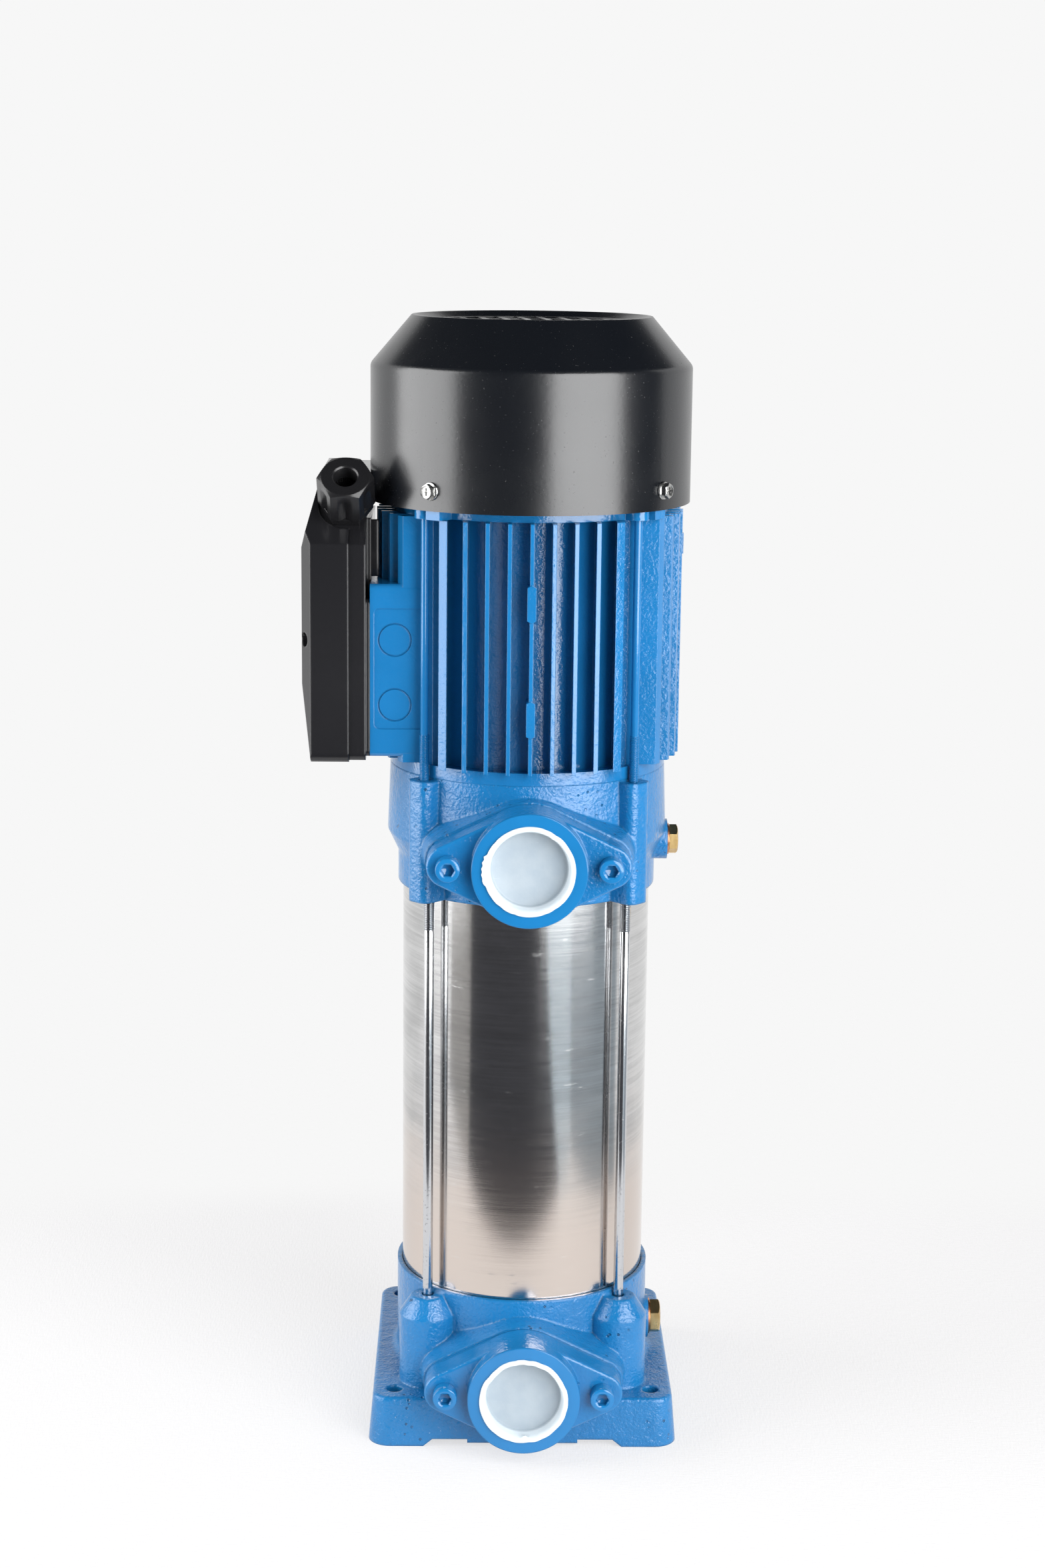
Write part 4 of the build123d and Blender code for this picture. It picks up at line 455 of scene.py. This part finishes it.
milk = milky()
for port, height in port_heights.items():
    cup = bmesh.new()
    turned(cup, cup_outline, 96)
    for vert in cup.verts:
        flat = Vector((vert.co.x, vert.co.y, 0))
        if flat.length > cup_wall and vert.co.z > rim_foot:
            out = flat.normalized()
            port_seed = Vector((0, 0, height))
            vert.co += out * min(0.0, noise.noise(out * 5.0 + port_seed)) * 0.7
            vert.co.z += rim_wobble * noise.noise(out * 2.3 + port_seed) - rim_settled
            turn = math.degrees(math.atan2(flat.y, flat.x)) % 360
            if port == "discharge" and flash_from < turn < flash_to and flat.length > rim_edge:
                vert.co += out * (0.5 + 0.7 * abs(math.sin(turn * 0.4)))
            if port == "suction" and tab_from < turn < tab_to and flat.length < rim_edge:
                vert.co -= out * 1.1
    cup = placed(cup, [Matrix.Translation((0, 0, height)) @ face_front])
    made(f"{port}_cap_cup", cup, milk, f"{port}_cap", "cap_plastic", f"{port}_cap")

# ---------------------------------------------------------------------------
# Vent and drain plugs: turned brass with hexagon heads, chamfered at 30 degrees,
# screwed into their bosses over a soft washer.
head_chamfer = math.tan(math.radians(30))
lay_along_x = Matrix.Rotation(math.radians(90), 4, "Y")


def turned_brass():
    """Brass with fine lathe lines and a few dull finger marks."""
    material, shade, place = finish("turned_brass")
    lines = grain(shade, place, 1.0, 3.0, 0.5, (1800, 40, 40))
    marks = grain(shade, place, 150.0, 4.0)
    surface(
        shade,
        Base_Color=marks.ramp(0.4, 0.65).mix((0.78, 0.56, 0.25, 1), (0.60, 0.40, 0.16, 1)),
        Metallic=1.0,
        Roughness=lines * 0.12 + marks * 0.16 + 0.16,
        Normal=raised(shade, lines, 0.00002),
    )
    return material


def disc(radius, count=24):
    """Points round a circle."""
    return [Matrix.Rotation(math.tau * step / count, 2) @ Vector((radius, 0)) for step in range(count)]


def hexagon(across, count=24):
    """Points round a hexagon, with corners where a turn of 60 degrees ends."""
    points = []
    for step, spot in enumerate(disc(1.0, count)):
        turn = math.tau * step / count % (math.pi / 3)
        points.append(spot * (across / 2 / math.cos(turn - math.pi / 6)))
    return points


def chamfer(top, inner, slope):
    """Heights that fall from a top outside an inner radius."""
    return lambda point: top - (Vector(point).length - inner) * slope


def drawn(mesh, *rings, closed=True):
    """Draws one loop of points through rings of (points, height) and closes its ends, or
    leaves them open and gives both."""
    ring = bmesh.ops.create_circle(mesh, segments=len(rings[0][0]), radius=1.0)["verts"]
    rim = [edge for edge in mesh.edges if edge.verts[0] in ring and edge.verts[1] in ring]
    first = rim
    for number, (points, height) in enumerate(rings):
        if number:
            grown = bmesh.ops.extrude_edge_only(mesh, edges=rim)["geom"]
            new = [item for item in grown if isinstance(item, bmesh.types.BMVert)]
            follows = {edge.other_vert(vert): vert for vert in new for edge in vert.link_edges}
            ring = [follows[vert] for vert in ring]
            rim = [item for item in grown if isinstance(item, bmesh.types.BMEdge)]
        for vert, point in zip(ring, points):
            vert.co = (point[0], point[1], height(point) if callable(height) else height)
    if closed:
        bmesh.ops.edgeloop_fill(mesh, edges=first)
        bmesh.ops.edgeloop_fill(mesh, edges=rim)
    return first, rim


def bar_end(mesh, across, low, high):
    """A hexagon bar end along Z whose top corners are turned off."""
    inner = across * 0.47
    corners = chamfer(high, inner, head_chamfer)
    drawn(mesh, (hexagon(across, 48), low), (hexagon(across, 48), corners), (disc(inner, 48), high))


dress(plated("soft_copper", (0.72, 0.33, 0.18, 1), 0.28), "plug_washers")
brass = turned_brass()
for plug, height, across, thread, tip, seat, end in (
    ("vent", 321.5, 14.0, 6.5, 69.0, 78.0, 83.0),
    ("drain", 42.0, 17.0, 8.25, 64.0, 73.0, 79.0),
):
    head = bmesh.new()
    collar = across * 0.49
    collar_top = seat + 0.6
    stem = ((0, tip), (thread, tip), (thread, seat - 0.1), (collar, seat), (collar, collar_top))
    turned(head, (*stem, (0, collar_top)))
    bar_end(head, across, seat + 0.4, end)
    head = placed(head, [Matrix.Translation((0, 0, height)) @ lay_along_x])
    made(f"{plug}_plug_head", head, brass, f"{plug}_plug", "brass_plug", f"{plug}_plug")

# ---------------------------------------------------------------------------
# Through bolts: steel rods with a long thread at the foot and a hexagon head.
# They hold the motor to the head and were sprayed blue with it.
bolt_circle = 78.0
bolt_crest, bolt_root, bolt_pitch = 2.65, 2.15, 0.8
bolt_foot, bolt_thread_end = 350.0, 389.0
bolt_seat, bolt_top, bolt_across = 509.0, 512.5, 8.0
bolt = bmesh.new()
turned(bolt, ((0, 388.8), (1.9, 388.8), (2.1, 389.6), (2.1, bolt_seat), (0, bolt_seat)), 20)
threaded(bolt, bolt_crest, bolt_root, bolt_pitch, bolt_foot, bolt_thread_end, 16)
bar_end(bolt, bolt_across, bolt_seat, bolt_top)
bolts = placed(bolt, quarters(bolt_circle))
painted = enamel("rod_enamel", 0.00005, 0.0020, 0.0, 0.0004)
made("threaded_through_bolts", bolts, painted, "pump", "painted_steel", "through_bolts")

# ---------------------------------------------------------------------------
# Flange screws: four steel screws with a round head and a hexagon socket, sprayed
# over with the flanges. Two hold each counter-flange to its port.
screw_spread = 42.0
flange_screw = bmesh.new()
drawn(
    flange_screw,
    (disc(4.0), 84.0),
    (disc(4.0), 99.0),
    (disc(6.45), 99.0),
    (disc(6.5), 105.9),
    (disc(6.2), 106.7),
    (disc(5.6), 107.0),
    (disc(4.1), 107.0),
    (hexagon(6.2), 106.4),
    (hexagon(6.0), 102.8),
    (disc(1.2), 102.0),
)
sockets = [
    Matrix.Translation((side, 0, height)) @ face_front
    for height in port_heights.values()
    for side in (-screw_spread, screw_spread)
]
flange_screws = placed(flange_screw, sockets)
made("socket_flange_screws", flange_screws, painted, "pump", "painted_steel", "flange_screws")

# ---------------------------------------------------------------------------
# Fan cover: deep-drawn sheet steel, stoved in satin black. Fine grains of dust
# are caught in the lacquer, which is not quite even.


def satin_black():
    """Black lacquer with a soft shine and a fine orange peel."""
    material, shade, place = finish("satin_black")
    dust = grain(shade, place, 900.0, 2.0).ramp(0.70, 0.78)
    peel = grain(shade, place, 420.0, 3.0)
    broad = grain(shade, place, 30.0, 4.0)
    surface(
        shade,
        Base_Color=(dust * 0.5).mix((0.0035, 0.0045, 0.0065, 1), (0.06, 0.06, 0.06, 1)),
        Roughness=broad * 0.12 + dust * 0.2 + 0.20,
        IOR=1.62,
        Normal=raised(shade, peel * 0.7 + dust * 0.6, 0.00004),
    )
    return material


dress(satin_black(), "fan_cover")

# ---------------------------------------------------------------------------
# Fan cover screws: four zinc-plated hexagon screws with a flange under the head
# and a cross recess in it. They go through the cover into the end shield.
cover_screw_circle, cover_screw_height, cover_screw_turn = 85.4, 518.0, 52.5


def cross(reach, half):
    """Points round a cross, six to a quarter."""
    middle = (half + reach) / 2
    arm = [(half, -half), (middle, -half), (reach, -half), (reach, 0), (reach, half), (middle, half)]
    return [Matrix.Rotation(math.radians(90 * arms), 2) @ Vector(spot) for arms in range(4) for spot in arm]


def recess_rim(radius):
    """A circle whose points stand beside those of a cross."""
    return [Matrix.Rotation(math.radians(-52.5), 2) @ point for point in disc(radius)]


cover_screw = bmesh.new()
drawn(
    cover_screw,
    (disc(2.0), -6.0),
    (disc(2.0), 0.0),
    (disc(4.6), 0.0),
    (disc(4.75), 0.5),
    (disc(4.5), 0.95),
    (hexagon(7.0), 1.25),
    (hexagon(7.0), chamfer(4.2, 3.2, 0.58)),
    (disc(3.2), 4.15),
    (recess_rim(2.6), 3.95),
    (cross(2.05, 0.48), 3.9),
    (cross(1.1, 0.30), 2.2),
)
outwards = [
    spot @ lay_along_x for spot in quarters(cover_screw_circle, cover_screw_height, cover_screw_turn)
]
cover_screws = placed(cover_screw, outwards)
zinc = plated("dull_zinc", (0.50, 0.50, 0.49, 1), 0.20)
made("flanged_cover_screws", cover_screws, zinc, "pump", "plated_steel", "fan_cover_screws")

# ---------------------------------------------------------------------------
# Terminal box: tray and deep lid, injection moulded in black nylon with a very
# fine spark texture. Four cross-recessed screws hold the lid. A black block behind
# the tray fills its gap to the motor's fins as painted shade.
gap_shade_size, gap_shade_middle, gap_shade_rounding = (7.4, 3.0, 30.0), (-83.5, -27.6, 484.0), 0.7
lid_face = -108.5
lid_screw_places = ((-44.0, 437.35), (44.0, 437.35), (0.0, 379.5), (25.0, 517.2))
nylon = moulded("black_nylon", (0.0105, 0.0105, 0.012, 1), 0.0007, 0.000008, 0.12, blend=0.0013)
dress(nylon, "terminal_box", "terminal_lid")

# Painted shade: a black block fills the gap between tray and fins, where shade lies.
gap_shade_block = bmesh.new()
bmesh.ops.create_cube(gap_shade_block, size=1.0)
bmesh.ops.scale(gap_shade_block, vec=gap_shade_size, verts=gap_shade_block.verts)
bmesh.ops.translate(gap_shade_block, vec=gap_shade_middle, verts=gap_shade_block.verts)
bmesh.ops.bevel(
    gap_shade_block,
    geom=gap_shade_block.edges,
    offset=gap_shade_rounding,
    segments=3,
    profile=0.5,
    affect="EDGES",
    material=-1,
)
made("painted_shade_block", gap_shade_block, nylon, "pump", "box_plastic")

lid_screw = bmesh.new()
drawn(
    lid_screw,
    (disc(1.7), -8.0),
    (disc(1.7), 0.0),
    (disc(3.2), 0.0),
    (disc(3.5), 0.3),
    (disc(3.5), 1.2),
    (disc(3.1), 2.0),
    (recess_rim(2.3), 2.5),
    (cross(1.75, 0.42), 2.5),
    (cross(0.9, 0.26), 1.0),
)
face_left = Matrix.Rotation(math.radians(-90), 4, "Y")
seats = [
    Matrix.Translation((lid_face, across, height)) @ face_left for across, height in lid_screw_places
]
lid_screws = placed(lid_screw, seats)
made("lid_screw_heads", lid_screws, zinc, "terminal_cover", "plated_steel", "lid_screws")

# ---------------------------------------------------------------------------
# Cable gland: nylon body with a hexagon, and a hexagon clamping nut with a wedge
# cut into each flat. The nut squeezes the rubber seal on a cable.
nut_across, wedge_width, wedge_depth = 26.0, 7.0, 2.2
nut_foot, wedge_top, flats_top, nut_top = 4.3, 17.2, 20.4, 25.3
crown_radius, mouth_radius = 12.4, 7.0
thread_crest, thread_root = 6.1, 6.5
thread_start, thread_step, thread_rings = 24.4, 0.75, 12
gland_place, gland_tilt = (-96.5, -32.5, 505.7), 45
gland_nylon = moulded(
    "gland_nylon", (0.0095, 0.0095, 0.0105, 1), 0.0006, 0.00002, 0.22, blend=0.0006
)
dress(gland_nylon, "gland_body")


def notched(across, width, depth):
    """Points round a hexagon with a wedge of a width and depth cut into each flat."""
    flat = across / 2
    corner = flat * math.tan(math.radians(30))
    half = width / 2
    left = [-corner * part for part in (1.0, 0.8, 0.6, 0.4, 0.2) if corner * part > half]
    side = [(flat, place) for place in left]
    side += [(flat, -half), (flat - depth / 2, -half / 2), (flat - depth, 0)]
    side += [(flat - depth / 2, half / 2), (flat, half)]
    side += [(flat, -place) for place in reversed(left[1:])]
    return [
        Matrix.Rotation(math.radians(60 * turn + 30), 2) @ Vector(spot)
        for turn in range(6)
        for spot in side
    ]


def on_circle(points, radius):
    """The same points, pushed onto a circle."""
    return [point.normalized() * radius for point in points]


nut = bmesh.new()
full = notched(nut_across, wedge_width, wedge_depth)
plain = notched(nut_across, wedge_width, 0.0)
bore = [
    (on_circle(plain, thread_root if step % 2 else thread_crest), thread_start - thread_step * step)
    for step in range(thread_rings)
]
bottom, last = drawn(
    nut,
    (full, nut_foot),
    (full, wedge_top),
    (plain, flats_top),
    (plain, chamfer(nut_top, crown_radius, 0.65)),
    (on_circle(plain, crown_radius), nut_top),
    (on_circle(plain, mouth_radius), nut_top),
    *bore,
    (on_circle(plain, thread_root), nut_foot),
    closed=False,
)
bmesh.ops.bridge_loops(nut, edges=bottom + last)
gland_lean = Matrix.Translation(gland_place) @ Matrix.Rotation(math.radians(gland_tilt), 4, "X")
nut = placed(nut, [gland_lean])
made("notched_gland_nut", nut, gland_nylon, "gland_nut", "box_plastic", "gland_nut")

# ---------------------------------------------------------------------------
# Floor, backdrop and lights: a plain pale floor, white behind, a soft light on
# each side of the motor, and plain cards for a table and a dark room that only
# reflections see. Sizes and places are in metres.
floor_size = 6.0
fade_from, fade_to = 0.31, 0.40  # along Y, where the floor turns into the backdrop
edge_from, edge_to = 0.7, 1.5  # the same all round, away from the pump
card_lift = 0.002
room_side, room_front, room_back, room_height = 2.2, -2.6, 0.5, 2.2
ceiling_half = 2.6
night = (0.014, 0.015, 0.018)
world_light, world_seen = 0.40, 0.53


def watched(shade):
    """1 where the camera, a mirror or clear plastic looks, and 0 for light that only falls."""
    return (
        shade.node("ShaderNodeLightPath", output="Is Camera Ray")
        + shade.node("ShaderNodeLightPath", output="Is Glossy Ray")
        + shade.node("ShaderNodeLightPath", output="Is Transmission Ray")
    )


def pale_floor():
    """Pale cloth with a faint weave, seen nearly white where no shadow falls. Behind the
    pump it fades into the white of the backdrop."""
    material, shade, place = finish("pale_floor")
    seen = watched(shade)
    creases = grain(shade, place, 3.0, 2.0)
    reach = shade.node("ShaderNodeVectorMath", {"operation": "LENGTH"}, {0: place}, "Value")
    behind = (along(shade, place, "Y") + creases * 0.12).ramp(fade_from, fade_to)
    far = 1 - (1 - behind) * (1 - reach.ramp(edge_from, edge_to))
    warp = grain(shade, place, 1.0, 2.0, 0.5, (900, 160, 1))
    weft = grain(shade, place, 1.0, 2.0, 0.5, (160, 900, 1))
    weave = warp * 0.5 + weft * 0.5
    bright = seen.mix((0.80, 0.80, 0.80, 1), (0.24, 0.24, 0.24, 1))
    matt = shade.node(
        "ShaderNodeBsdfDiffuse",
        {},
        {"Color": far.mix(bright, (0, 0, 0, 1)), "Normal": raised(shade, weave, 0.0006)},
    )
    near_and_far = far.mix((0.655, 0.650, 0.655, 1), (0.93, 0.93, 0.93, 1))
    glow = shade.node(
        "ShaderNodeEmission", {}, {"Color": near_and_far, "Strength": seen * (weave * 0.05 + 0.975)}
    )
    both = shade.node("ShaderNodeAddShader", {}, {0: matt, 1: glow})
    shade.node("ShaderNodeOutputMaterial", {}, {"Surface": both})
    return material


floor_mesh = bmesh.new()
bmesh.ops.create_grid(floor_mesh, x_segments=1, y_segments=1, size=floor_size)
floor = shown("floor", floor_mesh, pale_floor())


def card(name, tone, *edges):
    """A card of one plain tone between two edges, which only reflections see."""
    mesh = bmesh.new()
    sides = [mesh.edges.new([mesh.verts.new(end) for end in edge]) for edge in edges]
    bmesh.ops.bridge_loops(mesh, edges=sides)
    material, shade, _ = finish(name)
    glow = shade.node("ShaderNodeEmission", {}, {"Color": (*tone, 1), "Strength": 1.0})
    shade.node("ShaderNodeOutputMaterial", {}, {"Surface": glow})
    made_card = shown(name, mesh, material)
    for ray in ("camera", "diffuse", "transmission", "volume_scatter", "shadow"):
        setattr(made_card, f"visible_{ray}", False)


def table(name, tone, *corners):
    """A card that lies on the floor, with two near corners and two far ones."""
    near_left, near_right, far_left, far_right = ((x, y, card_lift) for x, y in corners)
    card(name, tone, (near_left, near_right), (far_left, far_right))


def wall(name, start, end):
    """A dark card that stands from the floor to the ceiling."""
    card(name, night, *(((*start, level), (*end, level)) for level in (0.0, room_height)))


table("table_front", (0.070, 0.070, 0.078), (-0.36, -0.30), (0.24, -0.385), (-2.2, -1.75), (0.62, -2.6))
table("table_left", (0.40, 0.385, 0.37), (-0.62, -0.20), (-0.36, -0.30), (-2.2, -0.75), (-2.2, -1.75))
table("table_right", (0.62, 0.71, 0.77), (0.24, -0.385), (0.34, -0.38), (0.62, -2.6), (2.2, -2.6))
table("table_side", (0.36, 0.41, 0.45), (0.34, -0.38), (0.42, 0.00), (2.2, -2.6), (2.2, 0.1))
wall("room_front", (-room_side, room_front), (room_side, room_front))
wall("room_left", (-room_side, room_front), (-room_side, room_back))
wall("room_right", (room_side, room_front), (room_side, room_back))
card(
    "ceiling",
    night,
    ((-ceiling_half, -ceiling_half, room_height), (ceiling_half, -ceiling_half, room_height)),
    ((-ceiling_half, ceiling_half, room_height), (ceiling_half, ceiling_half, room_height)),
)

world = bpy.data.worlds.new("studio")
bpy.context.scene.world = world
world.use_nodes = True
world.node_tree.nodes.clear()
shade = Shade(world.node_tree)
strength = watched(shade) * world_seen + world_light
backdrop = shade.node("ShaderNodeBackground", {}, {"Color": (1, 1, 1, 1), "Strength": strength})
shade.node("ShaderNodeOutputWorld", {}, {"Surface": backdrop})


def softbox(name, azimuth, watts, distance=1.35, height=0.75, width=1.3, tall=1.45):
    """A rectangular soft light that faces the motor, from an azimuth where 0 is the front."""
    lamp = bpy.data.lights.new(name, "AREA")
    lamp.shape = "RECTANGLE"
    lamp.size = width
    lamp.size_y = tall
    lamp.energy = watts
    light = bpy.data.objects.new(name, lamp)
    bpy.context.scene.collection.objects.link(light)
    angle = math.radians(azimuth)
    light.location = (distance * math.sin(angle), -distance * math.cos(angle), height)
    aim = Vector((0, 0, height)) - light.location
    light.rotation_euler = aim.to_track_quat("-Z", "Y").to_euler()


softbox("right_softbox", azimuth=38.0, watts=43.0)
softbox("left_softbox", azimuth=-80.0, watts=33.0)

# ---------------------------------------------------------------------------
# Camera: almost 1.5 metres in front of the pump's axis and a little higher than
# its top, tilted down at its middle. The pump stands a degree round, and the
# camera leans by half a degree. Lengths in metres, angles in degrees.
camera_distance, camera_height = 1.4696, 0.6625
round_pump, sideways, tilt_down, lean = -1.0, 0.097, 11.95, 0.628
lens = bpy.data.cameras.new("camera")
lens.lens = 63.03
lens.sensor_width = 36.0
lens.clip_end = 50.0
camera = bpy.data.objects.new("camera", lens)
bpy.context.scene.collection.objects.link(camera)
camera.matrix_world = (
    Matrix.Rotation(math.radians(round_pump), 4, "Z")
    @ Matrix.Translation((0, -camera_distance, camera_height))
    @ Matrix.Rotation(math.radians(sideways), 4, "Z")
    @ Matrix.Rotation(math.radians(90 - tilt_down), 4, "X")
    @ Matrix.Rotation(math.radians(lean), 4, "Z")
)
bpy.context.scene.camera = camera
bpy.context.scene.view_settings.view_transform = "Standard"
